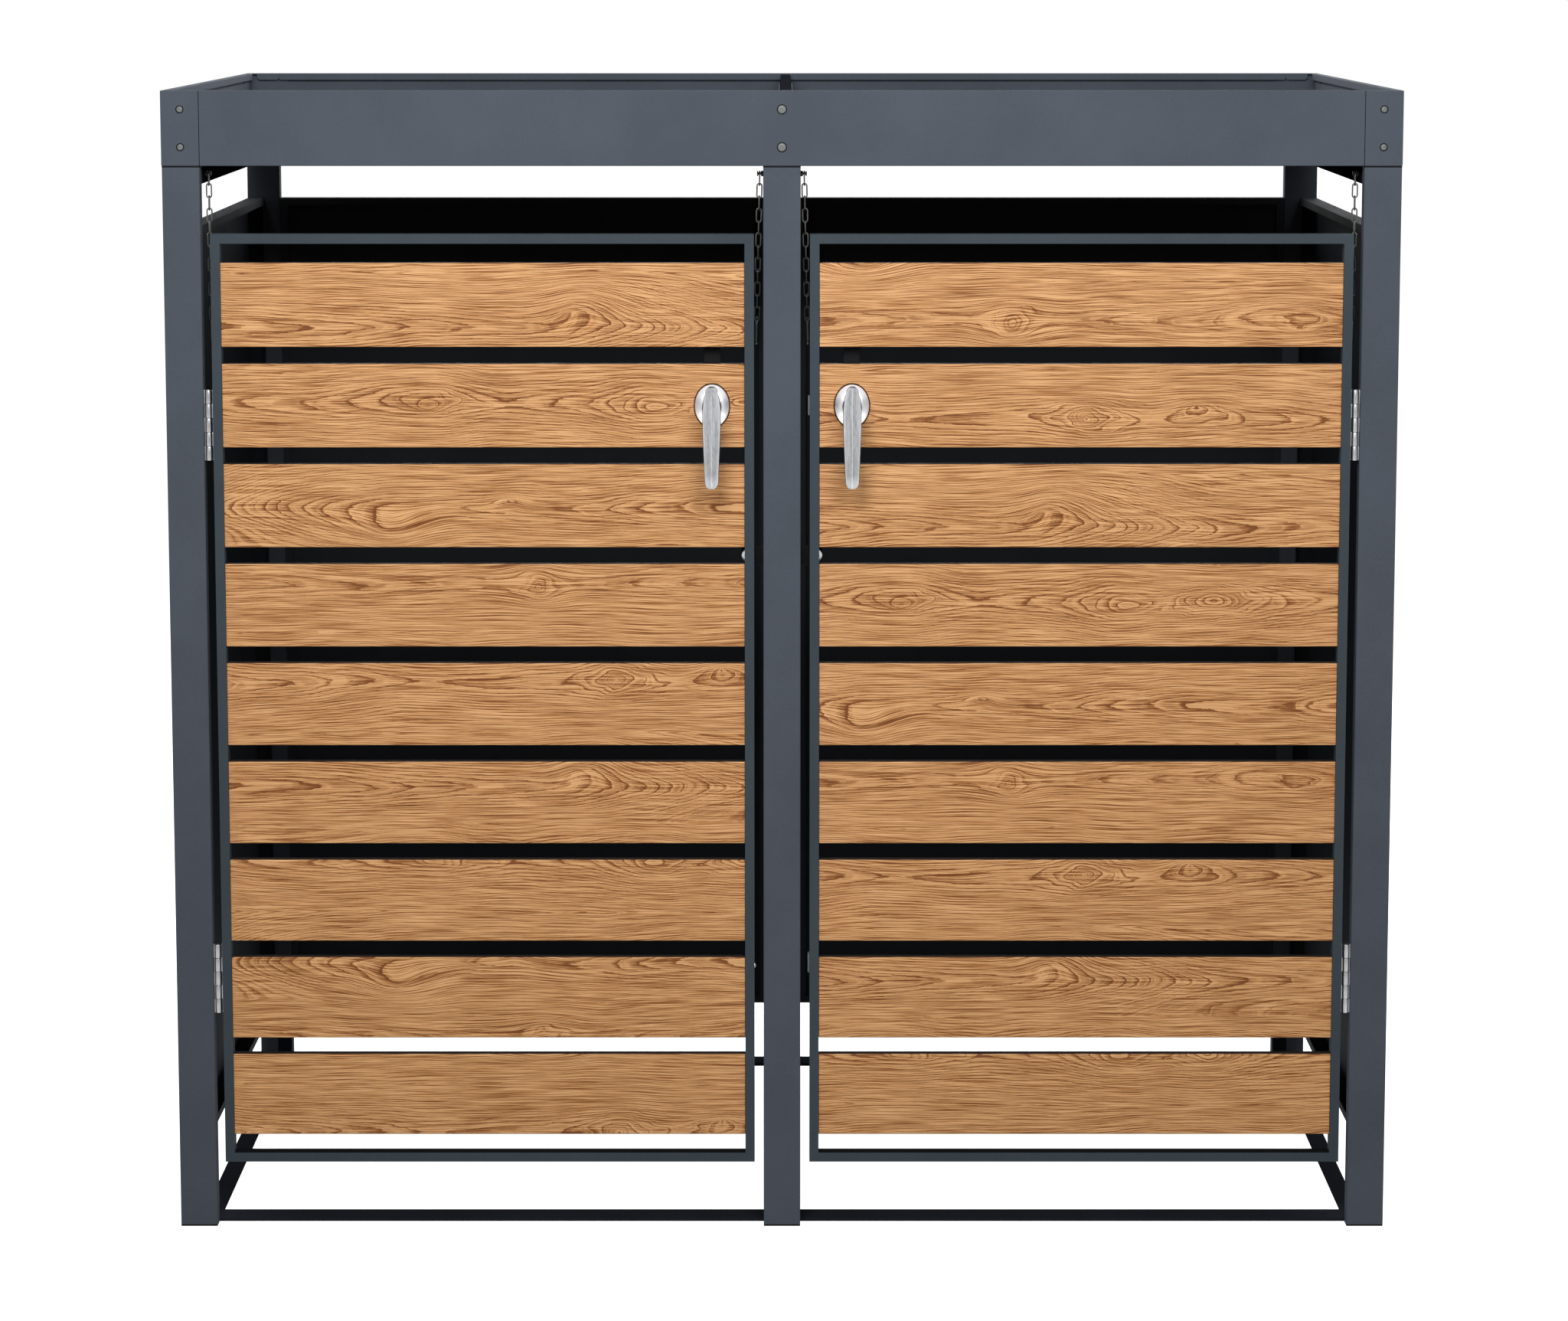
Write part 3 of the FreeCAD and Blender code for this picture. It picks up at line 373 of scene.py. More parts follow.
def closed_wire(path, radius, sides):
    """A wire along a closed path in X and Z: at each point a circle in the plane of the Y axis and
    the sideways direction, which is Y crossed with the path's own direction."""
    ahead = np.roll(path, -1, axis=0) - np.roll(path, 1, axis=0)
    ahead /= np.linalg.norm(ahead, axis=1, keepdims=True)
    normal = np.array([0.0, 1.0, 0.0])
    side = np.cross(normal, ahead)
    angle = np.linspace(0, 2 * math.pi, sides, endpoint=False)
    ring = side[:, None] * np.cos(angle)[None, :, None] + normal * np.sin(angle)[None, :, None]
    return path[:, None] + ring * radius


def make_piece(name, shells, material, body, replaces=(), marks=None, crease=38):
    """One object from closed shells of points and faces, its faces pointing out, with smooth
    shading up to the crease angle, ridden on a body and finished with a material. Marks are
    attributes of its points."""
    vertices, faces, count = [], [], 0
    for points, quads in shells:
        vertices.append(points)
        faces += [[i + count for i in face] for face in quads]
        count += len(points)
    mesh = bpy.data.meshes.new(name)
    mesh.from_pydata(np.vstack(vertices), [], faces)
    for key, values in (marks or {}).items():
        values = np.asarray(values, np.float32)
        kind, field = ("FLOAT_VECTOR", "vector") if values.ndim == 2 else ("FLOAT", "value")
        mesh.attributes.new(key, kind, "POINT").data.foreach_set(field, values.ravel())
    work = bmesh.new()
    work.from_mesh(mesh)
    bmesh.ops.recalc_face_normals(work, faces=work.faces)
    work.to_mesh(mesh)
    work.free()
    mesh.shade_smooth()
    mesh.set_sharp_from_angle(angle=math.radians(crease))
    mesh.materials.append(material)
    piece = bpy.data.objects.new(name, mesh)
    bpy.context.scene.collection.objects.link(piece)
    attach(piece, body)
    if replaces:
        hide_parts(*replaces)
    return piece


# ---- Node trees


def feed(node, inputs):
    """Links each input of a node, by name or number, to a socket or sets it to a value."""
    for key, value in inputs.items():
        socket = node.inputs[key]
        if isinstance(value, bpy.types.NodeSocket):
            node.id_data.links.new(value, socket)
        elif socket.type == "RGBA" and len(value) == 3:
            socket.default_value = (*value, 1.0)
        else:
            socket.default_value = value


def add(tree, kind, inputs=None, **settings):
    """A node with its settings and inputs."""
    made = tree.nodes.new(kind)
    for key, value in settings.items():
        setattr(made, key, value)
    feed(made, inputs or {})
    return made


def calc(tree, operation, *values, clamp=False):
    """One, two or three values worked into one."""
    return add(tree, "ShaderNodeMath", dict(enumerate(values)), operation=operation,
               use_clamp=clamp).outputs[0]


def blend(tree, share, one, two):
    """Two colours mixed by a share."""
    return add(tree, "ShaderNodeMix", {0: share, 6: one, 7: two}, data_type="RGBA").outputs[2]


def spread(tree, value, low, high, to_low=0.0, to_high=1.0):
    """A value carried smoothly from one range to another."""
    return add(tree, "ShaderNodeMapRange", {0: value, 1: low, 2: high, 3: to_low, 4: to_high},
               interpolation_type="SMOOTHSTEP").outputs[0]


def drawn_out(tree, vector, stretch):
    """A vector stretched along each axis, which draws a texture out where the stretch is small."""
    return add(tree, "ShaderNodeVectorMath", {0: vector, 1: stretch},
               operation="MULTIPLY").outputs[0]


def noise(tree, vector, scale, detail, rough=0.55):
    """Noise over the surface."""
    return add(tree, "ShaderNodeTexNoise", {"Vector": vector, "Scale": scale, "Detail": detail,
                                            "Roughness": rough}).outputs[0]


def bumped(tree, height, strength, distance):
    """The normal that a height gives."""
    return add(tree, "ShaderNodeBump", {"Strength": strength, "Distance": distance,
                                        "Height": height}).outputs[0]


def object_place(tree):
    """Object coordinates."""
    return add(tree, "ShaderNodeTexCoord").outputs["Object"]


def vector_parts(tree, attribute):
    """The three parts of a piece's vector attribute."""
    vector = add(tree, "ShaderNodeAttribute", attribute_name=attribute).outputs["Vector"]
    return add(tree, "ShaderNodeSeparateXYZ", {0: vector}).outputs


def new_group(name, inputs, outputs):
    """An empty node group, its inputs and its output node. Inputs come with their first values, and
    a vector with None; every output is a value."""
    tree = bpy.data.node_groups.new(name, "ShaderNodeTree")
    for key, default in inputs.items():
        kind = "NodeSocketVector" if default is None else "NodeSocketFloat"
        socket = tree.interface.new_socket(key, in_out="INPUT", socket_type=kind)
        if default is not None:
            socket.default_value = default
    for key in outputs:
        tree.interface.new_socket(key, in_out="OUTPUT", socket_type="NodeSocketFloat")
    return tree, tree.nodes.new("NodeGroupInput").outputs, tree.nodes.new("NodeGroupOutput")


def powder_texture():
    """Fine pebbled powder coat: a height for the bump, and a faint mottle of the shade."""
    tree, given, result = new_group(
        "powder_texture", {"Vector": None, "Pebble size": 0.00055}, ("Height", "Mottle"))
    place = given["Vector"]
    pebbles = noise(tree, place, calc(tree, "DIVIDE", 1.0, given["Pebble size"]), 2.0)
    broad = calc(tree, "MULTIPLY", noise(tree, place, 9.0, 4.0), 0.7)
    grit = calc(tree, "MULTIPLY", noise(tree, place, 420.0, 2.0), 0.3)
    feed(result, {"Height": pebbles, "Mottle": calc(tree, "ADD", broad, grit)})


def brushed_streaks():
    """Fine parallel streaks of brushed metal along the vector's Z axis."""
    tree, given, result = new_group(
        "brushed_streaks", {"Vector": None, "Fineness": 3000.0}, ("Height", "Shade"))
    drawn = drawn_out(tree, given["Vector"], (1.0, 1.0, 0.012))
    fine = noise(tree, drawn, given["Fineness"], 3.0, 0.6)
    coarse = calc(tree, "MULTIPLY", noise(tree, drawn, 420.0, 2.0), 0.4)
    shade = calc(tree, "ADD", calc(tree, "MULTIPLY", fine, 0.6), coarse)
    feed(result, {"Height": fine, "Shade": shade})


def new_material(name, roughness, metallic=0.0, gloss=0.5):
    """A material with a Principled shader; its constant values are set on the shader's sockets."""
    material = bpy.data.materials.new(name)
    material.use_nodes = True
    shader = material.node_tree.nodes["Principled BSDF"]
    feed(shader, {"Roughness": roughness, "Metallic": metallic, "Specular IOR Level": gloss})
    return material, material.node_tree, shader


def textured(shader, group, values, colour, contrast, shade_range, rough_range, bump):
    """Gives a shader a group's texture: the group's second output varies the colour by the contrast
    and the roughness over its range, and its first is the height of the bump."""
    tree = shader.id_data
    height, mask = add(tree, "ShaderNodeGroup", {"Vector": object_place(tree), **values},
                       node_tree=bpy.data.node_groups[group]).outputs
    low = tuple(c * (1 - contrast) for c in colour)
    high = tuple(min(1.0, c * (1 + contrast)) for c in colour)
    feed(shader, {"Base Color": blend(tree, spread(tree, mask, *shade_range), low, high),
                  "Roughness": spread(tree, mask, 0.3, 0.7, *rough_range),
                  "Normal": bumped(tree, height, *bump)})


def coated(name, colour, pebble, roughness=0.75, strength=0.35, gloss=0.06):
    """Powder-coated metal or plastic: the colour with a faint mottle, pebbles in the bump."""
    material, _, shader = new_material(name, roughness, gloss=gloss)
    textured(shader, "powder_texture", {"Pebble size": pebble}, colour, 0.1, (0.3, 0.7),
             (roughness - 0.05, roughness + 0.06), (strength, 0.00006))
    return material


def brushed(name, colour, roughness, fineness, contrast, metallic=1.0):
    """Brushed or plated steel: streaks in the shade, the roughness and the bump."""
    material, _, shader = new_material(name, roughness, metallic)
    textured(shader, "brushed_streaks", {"Fineness": fineness}, colour, contrast, (0.35, 0.65),
             (roughness - 0.06, roughness + 0.08), (0.25, 0.00003))
    return material


def tinted(material, attribute):
    """A material's tree, its shader, the socket of its colour and that of a piece's attribute."""
    tree = material.node_tree
    shader = tree.nodes["Principled BSDF"]
    mark = add(tree, "ShaderNodeAttribute", attribute_name=attribute).outputs["Fac"]
    return tree, shader, shader.inputs["Base Color"].links[0].from_socket, mark


# ---- Coatings


def dress(material, *starts):
    """Gives a material to the frame's own pieces whose names start so."""
    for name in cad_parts:
        if name.startswith(starts):
            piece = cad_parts[name]
            if not piece.material_slots:
                piece.data.materials.append(material)
            for slot in piece.material_slots:
                slot.material = material


class BINSTORE_OT_coatings(bpy.types.Operator):
    """Gives posts, rails, roof, panels, trays, door frames and feet their coatings"""

    bl_idname = "binstore.coatings"
    bl_label = "Coatings"

    def execute(self, context):
        look = context.scene.bin_store_coatings
        powder_texture()
        brushed_streaks()
        pebble = look.pebble
        dress(coated("frame_coat", look.frame_colour, pebble),
              "front_post", "rear_post", "roof_fascia", "roof_corners")
        dress(coated("door_coat", look.door_colour, pebble), "door_frame")
        # Panels: darker copies of the frame's anthracite, as painted shade
        dress(coated("side_coat", look.side_colour, pebble), "side_panel")
        dress(coated("back_coat", look.back_colour, pebble), "back_panel")
        dress(coated("tray_coat", look.tray_colour, pebble), "roof_tray")
        # Rails and centre bar: the frame's anthracite darkened as painted shade
        dress(coated("rail_coat", look.rail_colour, pebble, gloss=0.0),
              "base_rails", "top_rail", "roof_centre_bar")
        dress(coated("foot_plastic", look.foot_colour, PLASTIC_PEBBLE, 0.55, 0.5), "post_feet")
        return {"FINISHED"}


# ---- Boards


def waves(u, v, size_u, size_v, seed):
    """Smooth unevenness of about -1 to 1: the sum of sine waves whose slants and phases come from
    the seed, divided by the root of their number and a factor that keeps the peaks in."""
    dice = np.random.default_rng(seed)
    total = np.zeros_like(u)
    count, turn = 7, 6.28
    for _ in range(count):
        across, up, phase = dice.uniform(-1, 1), dice.uniform(-1, 1), dice.uniform(0, turn)
        total += np.sin(turn * (across * u / size_u + up * v / size_v) + phase)
    return total / count ** 0.5 / 1.4


def decor(u, v):
    """The decor at places of the sheet: the count of year rings, the drawn-out height that fibres
    follow, the nearness of a heart line, and the way that rings end sharply. The count is that
    along the two heart lines above and below, mixed by height, plus a branch of a hyperbola of
    the height over the nearer one. Waves and bell-shaped rises shift the height first."""
    period = np.mod(v, DECOR_REPEAT)
    half = DECOR_REPEAT / 2
    shift = waves(u, v, 190, 110, 3) * 2.2 + waves(u, v, 52, 24, 30) * 0.7
    for place, up, reach_u, reach_v, amount in RISES:
        off = np.mod(period - up + half, DECOR_REPEAT) - half
        shift = shift - amount * np.exp(-((u - place) / reach_u) ** 2 - (off / reach_v) ** 2)
    height = v + shift
    period = np.mod(height, DECOR_REPEAT)
    slide = waves(u, v, 130, 60, 11) * 4
    fine_u = np.arange(-60, 721, 2.0)
    bell = np.exp(-(np.arange(-10, 11) * 2 / 5.0) ** 2)
    rings, near, sense = np.zeros_like(u), np.zeros_like(u), np.zeros_like(u)
    for number, (heart, sharp, points) in enumerate(BANDS):
        over = np.mod(period - heart + half, DECOR_REPEAT) - half
        gap_up = (BANDS[(number + 1) % len(BANDS)][0] - heart) % DECOR_REPEAT
        gap_down = (heart - BANDS[number - 1][0]) % DECOR_REPEAT
        share = np.abs(over) / np.where(over > 0, gap_up, gap_down)
        weight = np.clip((0.78 - share) / 0.56, 0, 1)
        weight = weight * weight * (3 - 2 * weight)
        table = np.array(points, float)
        count = np.interp(fine_u, table[:, 0], table[:, 1])
        count = np.convolve(np.pad(count, 10, mode="edge"), bell / bell.sum(), mode="valid")
        rings += (np.interp(u + slide, fine_u, count) - round(count.mean())) * weight
        sense += sharp * weight
        branch = (np.sqrt(over * over + HEART_WIDTH ** 2) - HEART_WIDTH) / RING_SPACING
        rings += np.where(share < 0.5, branch, 0)
        near += np.where(share < 0.5, np.exp(-(over / NEAR_REACH) ** 2), 0)
    lobed = 1 + 0.24 * waves(u, v, 24, 11, 40)
    for place, up, half_u, half_v, turns, power in KNOTS:
        off = np.mod(period - up + half, DECOR_REPEAT) - half
        reach = np.sqrt(((u + slide * 0.5 - place) / half_u) ** 2 + (off / half_v) ** 2) * lobed
        rings = rings - turns * np.exp(-reach ** power)
    return rings, height, near, sense


def year_ring():
    """The shade across a year ring by its turn from 0 to 1: slowly darker, a narrow dark line, then
    a sharp end. Off the heart lines the dark line is broader."""
    tree, given, result = new_group("year_ring", {"Turn": 0.0, "Near": 1.0}, ("Shade",))
    turn = given["Turn"]
    soft = spread(tree, turn, 0.15, 1.0)
    start = spread(tree, given["Near"], 0.0, 1.0, 0.50, 0.74)
    thin = spread(tree, turn, start, 0.92)
    soft, thin = calc(tree, "MULTIPLY", soft, 0.34), calc(tree, "MULTIPLY", thin, 0.52)
    end = spread(tree, turn, 0.95, 1.0, 1.0, 0.0)
    feed(result, {"Shade": calc(tree, "MULTIPLY", calc(tree, "ADD", soft, thin), end)})
    return tree


def board_material(look):
    """Oak decor: year rings where the ring count passes a whole number, finer lines between them,
    fibres and short pores drawn out along the board, broad changes of tone, and a dark core at
    the edges. All of them add up to one shade, from light over middle to dark wood."""
    material, tree, shader = new_material("oak_decor", 0.5, gloss=0.3)
    along, height, rings = vector_parts(tree, "decor")
    near, sense, core = vector_parts(tree, "figure")
    sheet = add(tree, "ShaderNodeCombineXYZ", {0: along, 1: height}).outputs[0]

    def grain(vector, stretch_along, stretch_up, detail, rough=0.6):
        drawn = drawn_out(tree, vector, (stretch_along, stretch_up, 1.0))
        return noise(tree, drawn, 1.0, detail, rough)

    wobble = grain(sheet, 0.033, 0.17, 4.0)
    count = calc(tree, "MULTIPLY_ADD", wobble, 0.8, calc(tree, "SUBTRACT", rings, 0.4))
    ringed = add(tree, "ShaderNodeCombineXYZ", {0: along, 1: count}).outputs[0]
    turn = calc(tree, "FRACT", count)
    ring_tree = year_ring()
    outward, inward = (add(tree, "ShaderNodeGroup", {"Turn": way, "Near": near},
                           node_tree=ring_tree).outputs["Shade"]
                       for way in (turn, calc(tree, "SUBTRACT", 1.0, turn)))
    line = add(tree, "ShaderNodeMix", {0: sense, 2: outward, 3: inward}).outputs[0]
    breaks = spread(tree, grain(ringed, 0.020, 0.45, 3.0), 0.36, 0.6, 0.4, 1.0)
    line = calc(tree, "MULTIPLY", calc(tree, "MULTIPLY", line, breaks),
                calc(tree, "MULTIPLY_ADD", near, 0.5, 0.5))
    between = spread(tree, grain(ringed, 0.008, 2.4, 2.0), 0.38, 0.62, -0.2, 0.2)
    fibre = spread(tree, grain(sheet, 0.012, 1.5, 2.0), 0.4, 0.6, -0.48, 0.48)
    pores = spread(tree, grain(sheet, 0.035, 1.2, 2.0, 0.5), 0.56, 0.68, 0.0, 0.12)
    tone = grain(sheet, 0.009, 0.045, 3.0, 0.5)
    shade = calc(tree, "MULTIPLY_ADD", line, 1.35, between)
    shade = calc(tree, "ADD", calc(tree, "ADD", shade, fibre), pores)
    shade = calc(tree, "MULTIPLY_ADD", tone, 0.45, shade)
    wood = blend(tree, calc(tree, "MULTIPLY", shade, 2.0, clamp=True), look.light, look.middle)
    wood = blend(tree, calc(tree, "MULTIPLY_ADD", shade, 2.0, -1.0, clamp=True), wood, look.dark)
    feed(shader, {"Base Color": blend(tree, core, wood, look.core),
                  "Roughness": spread(tree, fibre, -0.25, 0.25, 0.48, 0.6),
                  "Normal": bumped(tree, calc(tree, "SUBTRACT", 1.0, shade), 0.2, 0.0001)})
    return material


class BINSTORE_OT_boards(bpy.types.Operator):
    """Makes the eighteen slats as boards cut from one decor sheet"""

    bl_idname = "binstore.boards"
    bl_label = "Boards"

    def execute(self, context):
        look = context.scene.bin_store_boards
        material = board_material(look)
        for side, _ in SIDES:
            shift_u, shift_v = DECOR_PLACE[side]
            for number in range(1, SLATS + 1):
                node = f"slat_{side}_{number}"
                low, high = (np.array(corner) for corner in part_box(node))
                grid, out, share = rounded_slab(low, high, look.arris, 0, look.along,
                                                (1, look.across, 1, 4))
                points, faces = skin(grid)
                u = (points[:, 0] - low[0]) / MM + shift_u
                v = points[:, 2] / MM - FIRST_BOARD_BASE + shift_v
                rings, height, near, sense = decor(u, v)
                facing = np.abs(out[None, :, 0]) * share[:, None]
                core = np.clip(1.35 - facing * 1.6, 0, 1).ravel()
                marks = {"decor": np.column_stack([u, height, rings]),
                         "figure": np.column_stack([near, sense, core])}
                make_piece(f"board_{side}_{number}", [(points, faces)], material,
                           f"door_{side}", (node,), marks, 60)
        return {"FINISHED"}


# ---- Hinges


def knuckle_profile(radius, low, high, number):
    """A knuckle's outline from its low end to its high one, with eased edges. The first and the
    last knuckle also have the end of the pin."""
    ease = 0.0005
    third = ease * 0.3
    profile = [(radius - ease, low), (radius - third, low + third), (radius, low + ease),
               (radius, high - ease), (radius - third, high - third), (radius - ease, high)]
    pin = ((0.0012, 0.0001), (0.0014, 0.0004), (0.00165, 0.0004), (0.0017, 0.0))
    if number == 0:
        return [(r, low + d) for r, d in pin] + profile
    if number == KNUCKLES - 1:
        return profile + [(r, high - d) for r, d in pin[::-1]]
    return profile


class BINSTORE_OT_hinges(bpy.types.Operator):
    """Makes the four butt hinges with turned knuckles, their pins' ends and leaves"""

    bl_idname = "binstore.hinges"
    bl_label = "Hinges"

    def execute(self, context):
        look = context.scene.bin_store_hardware
        steel = brushed("hinge_steel", look.hinge_colour, 0.34, 2600, 0.22)
        front = HINGE_AXIS[1]
        grids = {"door": [], "post": []}
        spans = {"door": (DOOR_OUTER, 1), "post": (POST_INNER, -1)}
        for bottom in HINGE_BOTTOMS:
            for i in range(KNUCKLES):
                low = bottom + i * KNUCKLE_HEIGHT + (KNUCKLE_GAP if i else 0)
                high = bottom + (i + 1) * KNUCKLE_HEIGHT - (KNUCKLE_GAP if i < KNUCKLES - 1 else 0)
                whose = "door" if i % 2 else "post"
                edge, way = spans[whose]
                x = sorted((edge, edge + way * WEB_WIDTH))
                profile = knuckle_profile(look.knuckle / 2, low, high, i)
                web = slab((x[0], front, low), (x[1], front + WEB_DEPTH, high), 0.0001, 2)
                grids[whose] += [turned(profile, HINGE_AXIS, 2, 32), web]
            for whose, (edge, way) in spans.items():
                x = sorted((edge, edge + way * LEAF_WIDTH))
                leaf = slab((x[0], LEAF_FRONT, bottom), (x[1], LEAF_BACK, bottom + HINGE_HEIGHT),
                            0.0002, 2)
                grids[whose].append(leaf)
        halves = [skin(grid, sense) for _, sense in SIDES for grid in grids["post"]]
        make_piece("hinge_post_halves", halves, steel, "store_frame",
                   ("hinge_post_leaves",))
        for side, sense in SIDES:
            make_piece(f"hinge_door_halves_{side}", [skin(grid, sense) for grid in grids["door"]],
                       steel, f"door_{side}", (f"hinge_door_leaves_{side}",))
        return {"FINISHED"}


# ---- Handles


def lever_surface():
    """The hanging blade: at each height a section whose half width swells and tapers down the
    blade, with rounded shoulders, a flat rim and a low ridge down the middle of its face. The
    tone is painted light: towards 1 a painted highlight, towards -1 a painted shade."""
    top, shoulder, toe, tip = 0.0235, 0.0169, -0.0781, -0.0855
    height = np.concatenate([
        top - 0.0066 * (1 - np.cos(np.linspace(0.30, math.pi / 2, 8))),
        np.linspace(0.0155, -0.0745, 40),
        toe - 0.0074 * np.sin(np.linspace(0, 1.30, 9))])
    half = np.interp(height, [tip, toe, -0.022, -0.002, 0.010, shoulder, top],
                     [0.0074, 0.0074, 0.0098, 0.0098, 0.0086, 0.0066, 0.0066])
    above = np.clip((height - shoulder) / 0.0066, 0, 0.999)
    below = np.clip((toe - height) / 0.0074, 0, 0.999)
    half = np.maximum(half * np.sqrt(1 - above ** 2) * np.sqrt(1 - below ** 2), 0.0009)
    reach = np.interp(height, [tip, top], [0.042, 0.033])
    across = [-1, -0.93, -0.80, -0.5, -0.08, 0, 0.08, 0.5, 0.80, 0.93, 1,
              1, 0.9, 0.5, -0.5, -0.9, -1]
    depth = np.array([24, 11, 8.5, 5, 0.8, 0, 0.8, 5, 8.5, 11, 24, 64, 74, 80, 80, 74, 64]) * 0.0001
    grid = np.empty((len(height), len(across), 3))
    grid[..., 0] = half[:, None] * np.array(across)
    grid[..., 1] = -reach[:, None] + depth
    grid[..., 2] = height[:, None]
    # Painted light across the section: painted shade on the side faces and the flanks, a painted
    # highlight on the border of the face and a fainter one on the ridge
    rim, edge = [-0.5], [0.5]
    tone = np.array(rim + edge + [0.12, 0, 0, 0.25, 0, 0, 0.12] + edge + rim * 7)
    tone = np.tile(tone, (len(height), 1))
    # A painted highlight that brightens the face towards the tip, and painted shade on the top and
    # bottom ends
    tone[:, 2:9] += np.interp(height, [tip, -0.070], [0.5, 0.0])[:, None]
    tone[[0, 1, -1]] = -0.8
    return grid, tone


class BINSTORE_OT_handles(bpy.types.Operator):
    """Makes the oval plates with their gaskets, whose rims are also a painted shadow outline, the
    levers, hubs, spindles and latch tongues
    """

    bl_idname = "binstore.handles"
    bl_label = "Handles"

    def execute(self, context):
        look = context.scene.bin_store_hardware
        plate_steel = self.plate_material(look)
        lever_steel = self.lever_material(look)
        latch_black = coated("latch_black", look.latch_colour, 0.0004, 0.45)
        gasket_and_shadow = coated("gasket_rubber", look.gasket_colour, 0.0008, 0.7)
        dish = [(0.0066, 0.0020), (0.0183, 0.0020), (0.0187, 0.0010), (0.0186, 0.0002),
                (0.0180, -0.0006), (0.0165, -0.0016), (0.0146, -0.0038), (0.0130, -0.0046),
                (0.0120, -0.0050), (0.0066, -0.0050)]
        plate = turned(dish, HANDLE, 1, PLATE_SIDES, PLATE_OVAL)
        angle = np.linspace(0, 2 * math.pi, PLATE_SIDES, endpoint=False)
        # Painted reflection: a mask that greys the plate's sides in two fans, like the sheen of
        # brushed steel
        fan = np.tile(np.cos(2 * angle), len(dish))
        # The rubber ring reaches just past the plate's edge, so its black rim is also a painted
        # shadow outline round the plate
        ring = turned([(0.0150, 0.0018), (0.0194, 0.0018), (0.0196, 0.0014), (0.0194, 0.0010),
                       (0.0150, 0.0010)], HANDLE, 1, PLATE_SIDES, PLATE_OVAL)
        blade, tone = lever_surface()
        hub = turned([(0.0100, HUB_BACK), (0.0104, -0.0057), (0.0104, -0.0240), (0.0101, -0.0285)],
                     HANDLE, 1, 64)
        spindle = slab(HANDLE + (-SPINDLE_HALF, HUB_BACK, -SPINDLE_HALF),
                       HANDLE + (SPINDLE_HALF, TONGUE_BACK, SPINDLE_HALF), 0.0004, 1)
        # Painted shade: the tone darkens the hub and the spindle behind the lever
        rest = np.full(hub[..., 0].size + spindle[..., 0].size, -0.4)
        tone = np.concatenate([tone.ravel(), rest])
        tongue = slab(HANDLE + (-0.009, TONGUE_FRONT, -0.009), HANDLE + (0.009, TONGUE_BACK, 0.066),
                      0.0007, 2)
        nut = turned([(0.0060, TONGUE_BACK), (0.0074, 0.0240), (0.0074, 0.0280), (0.0064, 0.0286)],
                     HANDLE, 1, 6)
        for side, sense in SIDES:
            door, handle = f"door_{side}", f"handle_{side}"
            make_piece(f"oval_plate_{side}", [skin(plate, sense, True)], plate_steel,
                       door, (f"handle_rosette_{side}",), {"fan": fan}, 50)
            make_piece(f"plate_gasket_{side}", [skin(ring, sense, True)], gasket_and_shadow,
                       door)
            lever = [skin(part, sense) for part in (blade + HANDLE, hub, spindle)]
            # The tone attribute carries the lever's painted highlight and painted shade
            make_piece(f"lever_{side}", lever, lever_steel, handle,
                       (f"handle_lever_{side}",), {"tone": tone}, 24)
            latch = [skin(part, sense) for part in (tongue, nut)]
            make_piece(f"tongue_{side}", latch, latch_black, handle,
                       (f"latch_tongue_{side}",))
        return {"FINISHED"}

    def lever_material(self, look):
        """Brushed steel with painted light from the tone: a painted highlight on the ridge, rims
        and tip, and a painted shade on the flanks, the ends and the hub.
        """
        material = brushed("lever_steel", look.lever_colour, 0.42, 2400, 0.25, metallic=0.75)
        tree, shader, before, tone = tinted(material, "tone")
        # The tone's painted highlight lightens towards a pale grey, and its painted shade darkens
        # towards near black
        light = calc(tree, "MULTIPLY", tone, 0.8, clamp=True)
        dark = calc(tree, "MULTIPLY", tone, -1.0, clamp=True)
        shade = blend(tree, light, before, linear(222, 223, 225))
        feed(shader, {"Base Color": blend(tree, dark, shade, linear(38, 39, 42))})
        return material

    def plate_material(self, look):
        """Brushed oval plate: bright above and below, with grey fans at its sides that are a
        painted reflection of the brushing's sheen.
        """
        material = brushed("plate_steel", look.rosette_colour, 0.3, 2400, 0.04)
        tree, shader, before, fan = tinted(material, "fan")
        # Painted reflection: the fans turn the plate's sides towards a mid grey
        sides = spread(tree, fan, 0.2, 1.0, 0.0, 0.5)
        feed(shader, {"Base Color": blend(tree, sides, before, linear(120, 122, 126))})
        return material


# ---- Door stop, buffers, edge screw and painted shadows on the sills


